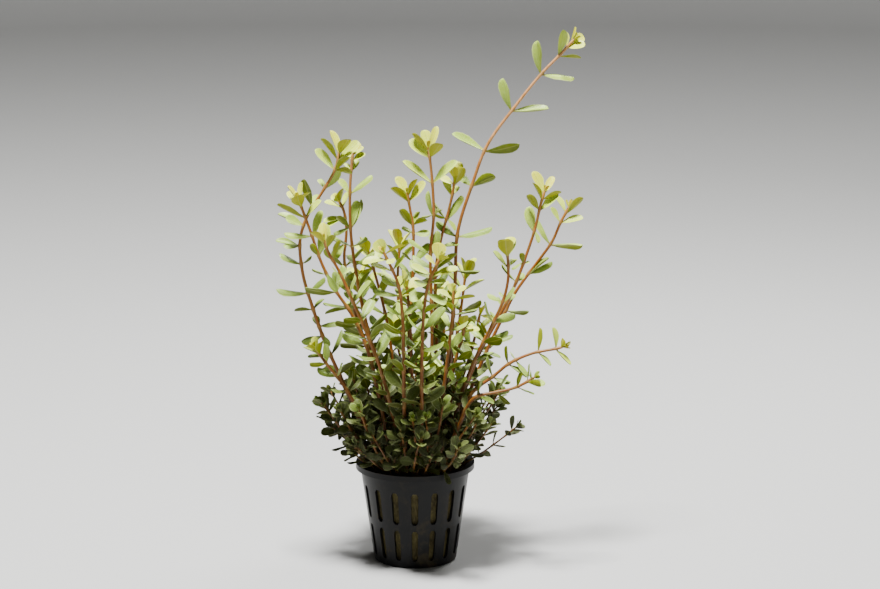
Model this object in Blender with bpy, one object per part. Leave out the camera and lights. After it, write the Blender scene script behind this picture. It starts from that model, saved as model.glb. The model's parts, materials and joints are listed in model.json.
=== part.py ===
"""A pot of Laos dwarf rotala: a black net pot, its mineral wool plug and the leafy shoots that stand in it.

The origin is the centre of the pot's underside, +Z is up and -Y is the front. Every shoot is one solid:
a four-sided stem with a pair of leaves at each joint, each pair a quarter turn on from the pair below.
"""

import itertools
import math
import random

import bmesh
import bpy
import numpy as np
from mathutils import Vector
from mathutils.bvhtree import BVHTree

MM = 0.001

# Pot, in millimetres
POT_HEIGHT = 45.0
POT_FOOT_RADIUS = 18.5
POT_NECK_RADIUS = 24.8
POT_WALL = 1.1
POT_NECK = POT_HEIGHT - POT_WALL
POT_SLOPE = (POT_NECK_RADIUS - POT_FOOT_RADIUS) / POT_NECK
LIP_REACH = 0.8
LIP_DROP = 2.6
SLOT_COUNT = 16
SLOT_DEGREES = 8.0
SLOT_TIERS = ((3.5, 18.0), (21.0, 36.0))
HUB_RADIUS = 5.0
FLOOR_SLOT_END = 15.5

# Mineral wool plug, in millimetres
GAP = 0.3
WOOL_TOP = 42.0
STEM_DEPTH = 8.0
SOCKET_GAP = 0.35
SOCKET_CUTTER_RISE = 1.0

# Shoots, in millimetres. The front view, in which their routes are drawn, looks down by SIGHT_DEGREES.
SIGHT_DEGREES = 12.0
ROW_STEP = 3.8
ROW_FLARE = 4.6
FLARE_HEIGHT = 15.0
ROW_DRIFT = 0.018
STEM_RADIUS = 0.82
THIN_STEM_RADIUS = 0.6
STEM_TAPER = 0.3
JOINT_HALF = 0.7
TIP_GAPS = (2.6, 5.0)
CLOSE_PAIRS = 5
LOWER_PAIRS_EVERY = 3
BARE_HEIGHT = 38.0
THIN_BARE_HEIGHT = 7.0
LONG_INTERNODE = 15.0
BUD_LENGTH = 1.6

# Leaves: shares of the blade's length and width, millimetres for thickness, clearance and level, and
# degrees for pitches and turns. LEAST_FACING is the least cosine from a leaf to the stem's side it grows on.
SHOULDER_AT = 0.42
TIP_AT = 0.93
TIP_WIDTH = 0.66
CROWN_AT = 0.62
BLADE_THICKNESS = 0.7
CLEARANCE = 0.35
SHORTER = (1.0, 0.78, 0.58)
TWIST_HELD = (1.0, 0.5, 0.0)
WIDTH_HELD = 0.4
YOUNG_SHARE = (0.6, 0.8, 0.95, 1.0)
YOUNG_PITCH = (24, 40, 50, 57, 62)
YOUNG_BEND = (0.16, 0.1, 0.0, -0.08)
MATURE_AGE = 0.5
OLD_LOSS = 0.3
OLD_SPREAD = 10
SET_LEAF_BENDS = (0.03, 0.1, -0.05)
SET_LEAF_TURNS = (30, 22, -34)
SET_LEAF_LEVEL = 2.0
LEAST_FACING = 0.12
ROSETTE_PAIRS = 2
ROSETTE_WIDER = 1.2
ROSETTE_LONGER = 1.08

# How far a leaf strays from the rule: degrees for turn, pitch and twist, and shares of length or width
STRAY_TURN = 13
STRAY_PITCH = (-11, 13)
STRAY_TWIST = 36
STRAY_SIZE = (0.88, 1.1)
STRAY_BEND = (-0.1, 0.08)

# Rule for the low shoots round the crown: LOW_TURNS holds the places, counted in golden angles, that are
# taken, and the others would cut into a taller shoot
LOW_TURNS = (1, 4, 6, 9, 10, 12, 16, 17, 20, 22, 24, 25, 27, 30)
LOW_REACH = (5.0, 17.5)
LOW_LEAN = (6.0, 46.0)
LOW_LEAN_POWER = 1.5
LOW_LENGTH = (22.0, 44.0)
LOW_ROUTE_SHARES = (0.3, 0.65, 1.0)
LOW_CURL = 0.08
LOW_STRAY_LEAN = (-5.0, 7.0)
LOW_GAP = (9.0, 11.0)
LOW_BLADE = ((8.0, 10.5), (3.8, 4.8))
LOW_SEED = 700
GOLDEN_ANGLE = math.radians(137.508)


def shoot(name, row, foot, way, gap=9.5, blade=(12.4, 4.9), phase=45.0, gaps=(), close=CLOSE_PAIRS,
          leaves=None):
    """One shoot. row is its depth, from -4 at the front to 4 at the back, foot is where it leaves the wool,
    and way holds its route as (across, up) in the front view, from the pot's rim. Pairs are counted from the
    tip. leaves holds the pairs that don't follow the rule, each leaf as (across, up, back, width, twist)."""
    return {
        "name": name, "row": row, "foot": foot, "way": way, "gap": gap, "blade": blade, "phase": phase,
        "gaps": gaps, "close": close, "leaves": leaves or {}, "thin": False,
    }


SHOOTS = (
    shoot("shoot_tall", 1, 8, [(11, 20), (15, 42), (17, 64), (18, 82), (19, 102), (25.6, 124), (31.6, 140),
                               (44.4, 158), (57.6, 174), (65.6, 182), (70.5, 187.5)],
          blade=(14.0, 5.4), gaps=(3.2, 5.2, 11.3, 20.7, 21.8, 16.7, 23.8, 15.6, 20, 13, 12), close=9,
          leaves={0: ((1.8, 6.4, 2, 3.6, 0), (5.2, 2.8, 2, 4.2, 35)),
                  1: ((6.6, 1.8, -1, 4.6, 45), (-0.8, 5.4, 2, 2.6, -30)),
                  2: ((1.4, 13.6, -2, 5.6, -65), (9.2, -1.0, 1, 3.6, -20)),
                  3: ((-1.6, 14.4, -1, 5.0, -65), (14.2, -0.6, 1, 4.2, 15)),
                  4: ((-3.4, 14.0, -2, 5.0, -65), (15.6, -0.4, 1, 4.8, 20)),
                  5: ((-14.4, 6.0, 1, 4.8, -35), (15.0, 3.6, -3, 5.2, -55)),
                  6: ((-4.8, 5.0, 3, 4.4, -40), (9.8, 5.4, -2, 5.4, -55)),
                  7: ((-8.4, 6.8, 2, 4.4, -45), (15.4, 3.0, -1, 4.8, 25)),
                  8: ((10.4, -1.0, 0, 3.2, 0), (-4.0, 4.0, 3, 3.6, 0)),
                  9: ((10.4, 3.0, -1, 3.6, -20), (-7.0, 3.5, 2, 4.0, 0))}),
    shoot("shoot_right_inner", 0, 12, [(21.6, 30), (29, 49), (37, 64), (43.4, 76.5), (49, 91), (53.5, 105),
                                       (56, 116), (57.6, 121)], gap=10, phase=40, gaps=(2.6, 5, 10, 15, 9),
          leaves={0: ((-4.2, 8.4, 2, 4.4, -40), (3.6, 6.6, 3, 3.0, 0)),
                  1: ((-3.0, 7.4, -3, 4.4, 0), (7.4, 2.6, -2, 4.0, -20)),
                  2: ((-5.0, 6.4, -2, 4.8, 40), (7.8, 7.0, -1, 5.0, 45)),
                  3: ((-1.8, 10.6, 2, 5.0, -60), (1.6, -4.6, -2, 2.6, 0)),
                  4: ((-5.0, -2.6, 0, 2.4, 0), (-0.6, 4.6, -2, 2.8, 0), (2.2, 0.6, 0, 1.8, 0)),
                  5: ((-6.4, 7.0, 0, 2.4, 30), (3.0, 3.0, 4, 3.6, 0))}),
    shoot("shoot_right_outer", 1, 14.5, [(25, 32), (32, 49), (39.5, 65), (44.5, 75), (50, 83), (56, 91),
                                         (61, 98), (65.5, 108), (69.5, 115)], gap=11, phase=55,
          gaps=(2.6, 5, 11, 16, 20, 16.5, 5),
          leaves={0: ((-1.0, 3.0, 0, 1.8, 0), (1.2, 3.0, 0, 1.8, 0)),
                  1: ((-3.6, 6.6, 2, 3.8, 0), (6.8, 6.0, -1, 4.0, -30)),
                  2: ((-4.6, 6.0, 0, 3.8, -35), (11.2, 2.8, -1, 5.0, 35)),
                  3: ((-5.4, 10.8, 1, 4.4, 0), (13.8, 1.4, -2, 5.2, -30)),
                  4: ((7.8, 8.0, -2, 5.2, 55), (10.2, 4.6, 0, 4.2, 35)),
                  5: ((9.6, -0.6, -2, 4.4, -30), (-3.0, 5.0, 4, 3.6, 0))}),
    shoot("shoot_right_short", -1, 13.5, [(20.5, 30), (28, 49), (35, 63), (39, 72), (41.2, 82), (41, 90),
                                          (40.4, 96)], gap=10, phase=30, gaps=(2.6, 5, 16),
          leaves={0: ((-1.0, 5.0, -2.4, 5.6, 0), (1.4, 4.8, 3, 5.2, 0)),
                  1: ((-0.8, 7.4, -2.8, 6.0, 0), (1.8, 6.6, 4, 5.4, 0)),
                  2: ((-6.8, 6.6, -1, 4.2, -25), (3.0, 2.0, 6, 4.0, 0)),
                  3: ((-6.4, 3.2, 0, 3.4, 0), (3.8, 7.2, -1, 3.2, 60))}),
    shoot("shoot_side_right", -2, 14, [(21, 23), (26, 32), (35, 39), (41, 44), (52, 49), (62, 51), (66, 52)],
          gap=9, blade=(9.0, 3.4), phase=80, gaps=(2.3, 7.8, 10.8, 3.6),
          leaves={0: ((4.0, 1.8, 1, 4.0, 20), (1.4, 3.2, -1, 3.4, 0)),
                  1: ((-0.8, 8.2, 1, 3.2, -40), (5.2, -6.4, -1, 2.8, 25)),
                  2: ((-0.2, 10.0, 1, 3.2, 0), (5.2, -5.6, -1, 2.8, 0)),
                  3: ((5.8, -6.4, -1, 3.4, 0), (-1.5, 2.0, 5, 3.2, 0)),
                  4: ((8.0, -4.8, -1, 3.8, 0), (-1.2, 7.6, 0, 2.8, 0))}),
    shoot("shoot_side_low", -3, 12.5, [(20, 18), (27, 30), (36, 32), (44, 34), (50, 37), (53, 39)],
          gap=9, blade=(8.5, 3.4), phase=20,
          leaves={0: ((4.8, -1.6, -1, 3.8, 0), (-0.4, 3.2, -2, 3.4, 0))}),
    shoot("shoot_left_outer", -1, -12, [(-24, 18), (-31, 34), (-39, 52), (-45, 69), (-49.5, 86), (-50, 100),
                                        (-46.5, 110), (-40, 120), (-34, 131), (-32.4, 138)], close=9,
          gaps=(2.6, 5, 9.5, 9.5, 9.5, 9.5, 8, 13.4, 7.8, 8.2, 4.5),
          leaves={0: ((-3.2, 8.6, 3, 4.6, 0), (3.4, 6.6, -3, 5.2, 0)),
                  1: ((-5.8, 8.6, 0, 4.2, 35), (8.2, 6.2, 2, 4.4, 40)),
                  2: ((-8.5, 8.0, 1, 4.8, -45), (7.0, -0.9, -2, 4.4, -45), (6.0, 6.8, -3, 5.0, 0)),
                  3: ((6.2, 9.4, 1, 5.0, 55), (-1.0, 3.0, 8, 4.4, 0)),
                  4: ((-2.8, 12.2, -1, 4.6, 60), (2.0, 3.0, 8, 4.2, 0)),
                  5: ((-7.6, 3.0, -3, 5.2, -40), (-11.0, 4.2, 3, 4.4, -15)),
                  6: ((-12.0, 2.6, 1, 3.8, 0), (-6.4, 1.2, -2, 4.2, -20)),
                  7: ((-8.4, 5.6, -2, 5.2, 0), (4.2, 3.0, 1, 3.8, 0)),
                  8: ((-13.4, 1.0, -2, 4.6, -25), (7.2, 7.0, -2, 5.0, 0)),
                  9: ((-7.8, -0.4, -1, 4.0, 30), (4.0, 4.0, 4, 3.8, 0))}),
    shoot("shoot_left_front", -2, -8, [(-15, 26), (-21.5, 53), (-28, 67), (-35, 77.5), (-41, 90), (-45, 102),
                                       (-49, 113), (-50.5, 117)], gap=9, phase=35,
          leaves={0: ((-4.0, 6.2, -1, 4.6, -30), (3.8, 3.6, -1, 4.0, -20), (1.2, 6.6, 3, 3.2, 0)),
                  1: ((-4.8, 5.8, 3, 4.4, 0), (-1.0, 4.6, -5, 5.2, 0)),
                  2: ((-12.0, 4.4, 0, 4.2, 0), (6.6, 7.0, 0, 4.2, 0)),
                  3: ((-11.5, 1.4, -1, 4.2, 0), (3.4, 10.8, 1, 4.0, 60)),
                  4: ((2.6, 11.6, 2, 5.0, 60), (-2.6, 5.4, -2, 2.8, 0)),
                  5: ((-5.8, 2.0, -1, 3.8, 20), (4.6, -7.6, -2, 3.4, 0))}),
    shoot("shoot_left_mid", -3, -5.5, [(-10.5, 26), (-16, 46), (-22, 61), (-28, 75), (-33, 86), (-37, 93),
                                       (-39, 99)], gap=9, phase=60, gaps=(2.6, 6, 8, 8, 4.8),
          leaves={1: ((-1.6, 8.8, 3, 5.4, 0), (3.0, 5.0, -2, 3.8, 0)),
                  2: ((3.6, 8.0, -1, 4.4, 0), (-3.2, 4.4, 1, 2.8, 0)),
                  3: ((-3.2, 4.4, -1, 2.6, 0), (3.5, 3.0, 4, 4.0, 0)),
                  4: ((1.8, 7.6, -2, 4.8, 0), (-4.0, 4.0, 3, 4.0, 0)),
                  5: ((8.2, 8.4, -1, 4.6, 20), (-3.0, 4.0, 4, 4.0, 0))}),
    shoot("shoot_left_back", 0, -5, [(-11, 30), (-19, 52), (-23, 68), (-26, 84), (-28.4, 104), (-28.4, 122),
                                     (-27.6, 133), (-27, 138)], gap=10, phase=50,
          gaps=(2.6, 5, 9.7, 15.5, 8.5, 8.5),
          leaves={0: ((1.6, 5.0, 2, 3.8, 0), (3.6, 3.2, 1, 3.0, 0)),
                  1: ((4.6, 3.0, 1, 3.2, 30), (-1.6, 3.0, 4, 3.2, 0)),
                  2: ((2.6, 3.6, 5, 3.6, 0), (-2.6, 3.0, 3, 3.2, 0)),
                  3: ((-4.7, 6.0, 1, 3.8, -35), (8.6, 8.4, 0, 4.0, 35)),
                  4: ((2.6, 11.8, 2, 4.8, 60), (5.4, 11.6, 4, 4.6, -50), (-5.4, 5.4, -2, 4.0, 40),
                      (-7.2, -2.2, 0, 4.0, 0))}),
    shoot("shoot_left_rear", 1, -5, [(-14, 34), (-24, 58), (-29, 74), (-31.6, 91), (-30.6, 105), (-32, 113),
                                     (-34.4, 117.5)], gap=9.5, phase=25, gaps=(2.6, 5, 12.5),
          leaves={0: ((1.2, 6.0, -3, 4.8, 0), (-2.8, 2.9, 2, 3.2, 0)),
                  1: ((-6.6, 2.8, -1, 4.4, 0), (2.5, 5.0, 4, 4.0, 0)),
                  2: ((-9.0, -2.6, 0, 4.2, -25), (-7.6, -3.8, -2, 3.8, 0)),
                  3: ((-7.0, 4.0, 0, 4.0, 20), (-5.0, -6.0, -2, 4.6, -50))}),
    shoot("shoot_left_inner", 2, -7.5, [(-9, 30), (-11.5, 54), (-14, 68), (-17, 80), (-19.8, 90),
                                        (-21.4, 95.5)], gap=9, phase=45, gaps=(2.6, 5, 13, 8.6),
          leaves={0: ((-2.2, 5.6, -3, 4.8, 0), (5.0, 4.0, -1, 3.4, 0), (-4.0, 5.8, 2, 3.2, 0)),
                  4: ((-9.4, 8.2, 0, 4.6, -15), (5.0, 4.0, 2, 4.0, 0))}),
    shoot("shoot_centre_left", -4, -4, [(-4.5, 30), (-4.6, 49), (-5, 66), (-7, 80), (-11, 89), (-13.2, 93.5)],
          gap=8.5, blade=(12.5, 5.2), phase=50, gaps=(2.6, 5.2, 7.8, 4.2, 8.6),
          leaves={0: ((-3.0, 5.2, 2, 5.8, 0), (7.4, 4.0, 0, 4.2, -20)),
                  1: ((-9.4, -0.6, -1, 4.4, -20), (2.4, -1.0, -4, 3.6, 0)),
                  2: ((-8.8, 1.8, -1, 4.6, -10), (4.6, 5.4, -1, 3.4, 0)),
                  3: ((-6.6, 4.6, 1, 4.2, -30), (-8.4, 5.8, 3, 5.0, 0), (4.0, 5.0, 2, 4.0, 0)),
                  4: ((-11.2, 3.4, 0, 4.4, -15), (6.0, 2.0, 2, 4.4, 0)),
                  5: ((-7.0, 4.4, -1, 4.2, -20), (6.0, 3.0, 1, 4.2, 0))}),
    shoot("shoot_centre_front", -3, -0.8, [(-1, 30), (-1.4, 54), (-2.2, 68), (-3.2, 79)],
          gap=8.5, blade=(12.0, 5.0), phase=35,
          leaves={0: ((-3.8, 4.2, 1, 5.2, -30), (4.6, 3.4, 1, 5.4, 30), (-2.4, 7.2, 2, 4.2, 0)),
                  1: ((-1.5, 1.0, -6, 5.4, 0), (5.4, -2.8, -2, 5.2, 30)),
                  2: ((-5.0, 2.0, -3, 4.6, 0), (6.4, 1.0, -2, 5.0, 20))}),
    shoot("shoot_centre_right", -4, 2.5, [(3.2, 30), (3.4, 49), (4.2, 66), (6.4, 80), (10, 88), (11.6, 91)],
          gap=8.5, blade=(12.5, 5.2), phase=45, gaps=(2.6, 5, 3.4, 5, 8.6),
          leaves={0: ((-0.2, 6.4, 2, 5.8, 0), (2.8, 2.6, -3, 3.8, 0)),
                  1: ((-3.8, 3.8, -2, 3.6, 0), (4.4, 3.2, 2, 3.6, 0)),
                  2: ((-8.8, 3.4, -1, 5.0, -20), (11.0, 3.2, -1, 5.2, 20)),
                  3: ((-5.6, 0.6, -3, 4.8, -20), (6.8, 1.2, -1, 4.2, 20)),
                  4: ((-6.4, -2.4, -2, 5.0, -30), (7.6, -4.8, -2, 4.6, 30))}),
    shoot("shoot_centre_back", 2, -1.5, [(-2, 30), (-2.8, 59), (-1.4, 76), (-0.8, 93), (-1, 106), (-2.6, 115),
                                         (-3.6, 121)], gap=10, phase=50, gaps=(2.6, 11, 4, 12.8),
          leaves={0: ((-4.4, 7.4, 2, 4.6, -20), (3.1, 7.2, -1, 3.8, -20)),
                  1: ((-6.4, 6.8, -3, 4.8, 20), (6.8, 7.4, 1, 4.2, 45)),
                  2: ((-5.2, 7.0, -2, 4.8, 35), (5.8, 2.6, -2, 4.4, -40), (2.0, 5.6, 3, 3.8, 0)),
                  3: ((6.8, 0.6, -1, 4.6, 40), (-4.0, 3.0, 4, 4.0, 0)),
                  4: ((6.2, 8.4, 1, 4.6, 50), (-5.0, 3.0, 2, 4.0, 0))}),
    shoot("shoot_centre_high", 0, 2.4, [(6.5, 34), (7.6, 55), (7.3, 75), (7, 94), (8.4, 110), (7.8, 124),
                                        (6.8, 134), (6, 140)], gap=11, phase=40, gaps=(3.2, 11.5, 14.5, 17.5),
          leaves={0: ((-1.8, 7.6, 3, 4.2, 0), (2.8, 9.4, 1, 3.0, 60), (-6.6, 6.4, -2, 3.6, 20)),
                  1: ((-7.4, 7.2, 0, 5.0, -60), (4.2, 5.4, -3, 5.6, -30)),
                  2: ((-13.2, 8.6, 0, 4.4, -35), (10.6, 9.6, -1, 5.0, 45)),
                  3: ((-1.8, 11.0, -1, 4.2, -55), (3.0, 1.5, 8, 4.0, 0), (-4.6, -0.8, -3, 4.2, 30)),
                  4: ((-8.8, 7.6, 0, 3.0, 0), (3.2, 10.4, 0, 4.2, 60))}),
    shoot("shoot_centre_lean", 1, 3.2, [(8, 34), (9.6, 54), (9, 74), (9.8, 90), (12, 101), (15, 112),
                                        (17, 121), (18, 128)], gap=10, phase=65, gaps=(2.6, 5, 11, 13),
          leaves={0: ((-0.8, 5.6, -3, 4.8, 0), (1.6, 6.6, 3, 4.2, 0)),
                  1: ((-5.0, 2.8, 0, 4.0, -30), (3.2, 7.2, -2, 4.8, 0)),
                  2: ((-3.8, 6.8, 1, 4.2, -40), (2.0, 3.0, 6, 3.6, 0)),
                  3: ((-5.4, 8.0, 0, 3.8, 20), (5.8, 10.8, 1, 4.6, 30), (-4.8, 1.8, -1, 3.4, 0),
                      (3.4, -5.0, -1, 3.0, 0)),
                  4: ((8.2, 1.8, -1, 3.6, 0), (-4.0, 4.0, 3, 4.0, 0))}),
    shoot("shoot_right_bud", -2, 8, [(12.4, 30), (14.8, 49), (16.6, 66), (17.2, 77)], gap=9,
          blade=(10.5, 4.4), phase=55,
          leaves={0: ((-0.8, 3.8, 1, 3.4, 0), (4.4, 2.8, 0, 3.6, 0)),
                  1: ((-5.4, 3.8, -1, 3.6, 0), (8.4, 0.2, 0, 2.8, 0))}),
    shoot("shoot_cross", 2, 10, [(19, 30), (25, 48), (28, 60), (29.4, 67)], gap=8, blade=(11.0, 4.4),
          leaves={0: ((2.4, 5.2, -2, 3.6, 0), (5.4, -0.8, -2, 3.6, 0)),
                  1: ((-5.6, -1.0, -2, 3.4, 0), (2.0, -5.6, -1, 3.0, 0))}),
    shoot("shoot_right_stub", -1, 9, [(15.5, 34), (19, 49), (21.4, 57), (22, 62.5)], gap=8,
          blade=(10.5, 4.4), phase=35,
          leaves={0: ((0.2, 5.0, -2, 4.2, 0), (3.2, -0.2, -1, 3.2, 0)),
                  1: ((6.0, 1.4, 0, 3.2, 0), (-3.5, 3.0, 2, 3.4, 0)),
                  2: ((6.6, -1.8, -1, 3.6, 20), (-4.0, 2.0, 2, 3.4, 0))}),
    shoot("shoot_left_stub", -2, -12, [(-24, 22), (-33, 37), (-40, 46), (-44, 52)], gap=7.5,
          blade=(9.5, 4.0), phase=55),
    shoot("shoot_back_left", 3, -7, [(-14, 30), (-21, 52), (-24, 70), (-25, 84)], gap=9.5, phase=40,
          close=4),
    shoot("shoot_back_mid", 4, -1, [(-3, 30), (-6, 52), (-8, 72), (-8, 88), (-7, 99)], gap=10, phase=50,
          close=4),
    shoot("shoot_back_right", 3, 6, [(12, 30), (18, 52), (21, 70), (23, 86)], gap=9.5, phase=35,
          close=4),
    shoot("shoot_back_far", 4, 5, [(8, 28), (12, 46), (13, 62), (12, 76)], gap=9, phase=60, close=4),
    shoot("shoot_back_edge", 3, -2.5, [(-4.5, 30), (-7, 46), (-10, 60)], gap=9, phase=30, close=4),
)


def row_depth(row, up):
    """How far back a row of shoots stands at this height: the rows flare out just over the rim."""
    up = max(up, 0.0)
    return row * (ROW_STEP + ROW_FLARE * (1 - math.exp(-up / FLARE_HEIGHT)) + ROW_DRIFT * up)


def front_point(row, across, up):
    """The place in the part's frame of a point drawn in the front view."""
    sight = math.radians(SIGHT_DEGREES)
    depth = row_depth(row, up)
    return np.array([across, depth, POT_HEIGHT + (up - depth * math.sin(sight)) / math.cos(sight)])


def planned_route(plan):
    foot = np.array([plan["foot"], row_depth(plan["row"], 0), WOOL_TOP])
    return [foot] + [front_point(plan["row"], *point) for point in plan["way"]]


def low_shoot(place, name):
    """The rule for the low shoots: they fan out round the crown, the outer ones leaning furthest."""
    draw = random.Random(LOW_SEED + place)
    turn = place * GOLDEN_ANGLE
    share_out = math.sqrt(draw.random())
    from_centre = LOW_REACH[0] + (LOW_REACH[1] - LOW_REACH[0]) * share_out
    lean = LOW_LEAN[0] + (LOW_LEAN[1] - LOW_LEAN[0]) * share_out**LOW_LEAN_POWER
    lean = math.radians(lean + draw.uniform(*LOW_STRAY_LEAN))
    length = draw.uniform(*LOW_LENGTH)
    out = np.array([math.cos(turn), math.sin(turn), 0.0])
    up = np.array([0.0, 0.0, 1.0])
    foot = out * from_centre + up * WOOL_TOP
    route = [foot]
    for share in LOW_ROUTE_SHARES:
        across = length * math.sin(lean) * share**0.85
        rise = length * (math.cos(lean) * share**1.1 + LOW_CURL * share**2)
        route.append(foot + out * across + up * rise)
    return {
        "name": name, "route": route, "gap": draw.uniform(*LOW_GAP),
        "blade": [draw.uniform(*span) for span in LOW_BLADE], "phase": draw.uniform(0, 90),
        "gaps": (), "close": CLOSE_PAIRS, "leaves": {}, "thin": True,
    }


def smooth_path(points, steps=8):
    """A dense polyline through the points, with tangents weighted by the chords on both sides."""
    points = np.array(points)
    chords = np.linalg.norm(np.diff(points, axis=0), axis=1)
    slopes = np.diff(points, axis=0) / chords[:, None]
    tangents = [slopes[0]]
    for before, after, near, far in zip(slopes, slopes[1:], chords, chords[1:]):
        tangents.append((before * far + after * near) / (near + far))
    tangents.append(slopes[-1])
    path = [points[0]]
    for i, chord in enumerate(chords):
        for step in range(1, steps + 1):
            t = step / steps
            path.append(
                points[i] * (2 * t**3 - 3 * t**2 + 1) + tangents[i] * chord * (t**3 - 2 * t**2 + t)
                + points[i + 1] * (3 * t**2 - 2 * t**3) + tangents[i + 1] * chord * (t**3 - t**2)
            )
    return np.array(path)


class Stem:
    """The centre line of a shoot, with a frame that is carried along it without twisting."""

    def __init__(self, route, phase):
        path = smooth_path(route)
        self.path = np.vstack([path[0] - [0, 0, STEM_DEPTH], path])
        steps = np.diff(self.path, axis=0)
        self.along = np.concatenate([[0.0], np.cumsum(np.linalg.norm(steps, axis=1))])
        self.length = self.along[-1]
        tangents = steps / np.linalg.norm(steps, axis=1)[:, None]
        side = np.array([math.cos(math.radians(phase)), math.sin(math.radians(phase)), 0.0])
        self.tangents, self.sides = [], []
        for tangent in tangents:
            side = side - tangent * (side @ tangent)
            side /= np.linalg.norm(side)
            self.tangents.append(tangent)
            self.sides.append(side)

    def at(self, distance):
        """(point, tangent, side, other side) at a distance along the stem."""
        i = int(np.clip(np.searchsorted(self.along, distance) - 1, 0, len(self.tangents) - 1))
        share = (distance - self.along[i]) / (self.along[i + 1] - self.along[i])
        point = self.path[i] + (self.path[i + 1] - self.path[i]) * share
        tangent, side = self.tangents[i], self.sides[i]
        return point, tangent, side, np.cross(tangent, side)


def leaf_joints(plan, stem):
    """(order, distance along the stem) of its leaf pairs, from the tip down. Past the close pairs at the tip
    the stem keeps only every third pair, which leaves the crown open enough for every stem to be clear."""
    gaps = list(plan["gaps"]) or list(TIP_GAPS)
    bare = STEM_DEPTH + (THIN_BARE_HEIGHT if plan["thin"] else BARE_HEIGHT)
    place, order, kept = stem.length - BUD_LENGTH, 0, []
    while place > bare:
        if order < plan["close"] or (order - plan["close"]) % LOWER_PAIRS_EVERY == 0:
            kept.append((order, place))
        place -= gaps[order] if order < len(gaps) else plan["gap"]
        order += 1
    return kept


def unit(vector):
    return vector / np.linalg.norm(vector)


def rosette(order):
    """(longer, wider): how much the pairs of a shoot's tip rosette outgrow the sizes given for them."""
    return (ROSETTE_LONGER, ROSETTE_WIDER) if order < ROSETTE_PAIRS else (1.0, 1.0)


def set_leaves(plan, order):
    """The leaves of a pair that is given in the front view, each as a dictionary. A leaf that is given no
    twist and lies level, pointing neither forwards nor back, takes its turn from SET_LEAF_TURNS."""
    leaves = []
    longer, wider = rosette(order)
    for i, (across, up, back, width, twist) in enumerate(plan["leaves"][order]):
        if twist == 0 and abs(back) <= SET_LEAF_LEVEL:
            turn = SET_LEAF_TURNS[(order + i) % 3]
            twist = math.copysign(turn, across * turn)
        leaves.append({
            "axis": unit(np.array([across, back, up])), "length": math.hypot(across, up, back) * longer,
            "width": width * wider, "twist": math.radians(twist), "bend": SET_LEAF_BENDS[(order + i) % 3],
        })
    return leaves


def held_width(share):
    """The share of its width that a leaf keeps when its length is only this share of a full one's."""
    return WIDTH_HELD + (1 - WIDTH_HELD) * share


def ruled_leaves(plan, stem, order, place, lowest, draw):
    """The leaves of a pair by the rule: small and upright at the tip, larger and flatter further down."""
    longer, wider = rosette(order)
    length, width = plan["blade"][0] * longer, plan["blade"][1] * wider
    young = YOUNG_SHARE[min(order, len(YOUNG_SHARE) - 1)]
    past = max(0.0, order / max(lowest, 1) - MATURE_AGE)
    old = 1.0 - OLD_LOSS * past
    pitch = YOUNG_PITCH[min(order, len(YOUNG_PITCH) - 1)] + OLD_SPREAD * past
    bend = YOUNG_BEND[min(order, len(YOUNG_BEND) - 1)]
    _, tangent, side, other = stem.at(place)
    leaves = []
    for half_turn in (0, 180):
        turn = math.radians(90 * (order % 2) + half_turn + draw.uniform(-STRAY_TURN, STRAY_TURN))
        lift = math.radians(pitch + draw.uniform(*STRAY_PITCH))
        radial = side * math.cos(turn) + other * math.sin(turn)
        leaves.append({
            "axis": tangent * math.cos(lift) + radial * math.sin(lift),
            "length": length * young * old * draw.uniform(*STRAY_SIZE),
            "width": width * held_width(young) * old * draw.uniform(*STRAY_SIZE),
            "twist": math.radians(draw.uniform(-STRAY_TWIST, STRAY_TWIST)),
            "bend": bend + draw.uniform(*STRAY_BEND),
        })
    return leaves


def leaf_sides(tangent, leaf):
    """(across, face): the directions over a blade's width and out of its upper face."""
    across = unit(np.cross(tangent, leaf["axis"]))
    face = np.cross(leaf["axis"], across)
    cosine, sine = math.cos(leaf["twist"]), math.sin(leaf["twist"])
    return across * cosine + face * sine, face * cosine - across * sine


def leaf_points(root, tangent, leaf, extra=0.0):
    """The five free corners of a leaf: a shoulder and a tip corner on each side, and its face's crown."""
    across, face = leaf_sides(tangent, leaf)
    length, width, thickness = leaf["length"] + extra, leaf["width"] + 2 * extra, BLADE_THICKNESS + 2 * extra

    def at(share, sideways, up):
        along = leaf["axis"] * length * share
        return root + along + across * sideways + face * (up - leaf["bend"] * length * share**2)

    return [
        at(SHOULDER_AT, -width / 2, 0), at(TIP_AT, -width / 2 * TIP_WIDTH, 0),
        at(TIP_AT, width / 2 * TIP_WIDTH, 0), at(SHOULDER_AT, width / 2, 0),
        at(CROWN_AT, 0, thickness),
    ]


# Faces of a leaf on its root quad 0-3 (low left, low right, high right, high left) and corners 4-8
LEAF_FACES = (
    (3, 4, 8), (4, 5, 8), (5, 6, 8), (6, 7, 8), (7, 2, 8), (2, 3, 8),
    (0, 1, 7), (0, 7, 4), (4, 7, 6), (4, 6, 5), (0, 4, 3), (1, 2, 7),
)
CLOSED_LEAF_FACES = (*LEAF_FACES, (0, 1, 2, 3))
FREE_CORNERS = 5


def new_object(name, vertices, faces, materials, face_materials=None, closed=True):
    """A mesh object made from points in millimetres. A closed one has its faces turned outwards."""
    mesh = bpy.data.meshes.new(name)
    mesh.from_pydata([Vector(v) * MM for v in vertices], [], [tuple(f) for f in faces])
    for material in materials:
        mesh.materials.append(material)
    if face_materials:
        mesh.polygons.foreach_set("material_index", face_materials)
    if closed:
        sides = bmesh.new()
        sides.from_mesh(mesh)
        bmesh.ops.recalc_face_normals(sides, faces=sides.faces)
        sides.to_mesh(mesh)
        sides.free()
    made = bpy.data.objects.new(name, mesh)
    bpy.context.scene.collection.objects.link(made)
    return made


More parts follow.
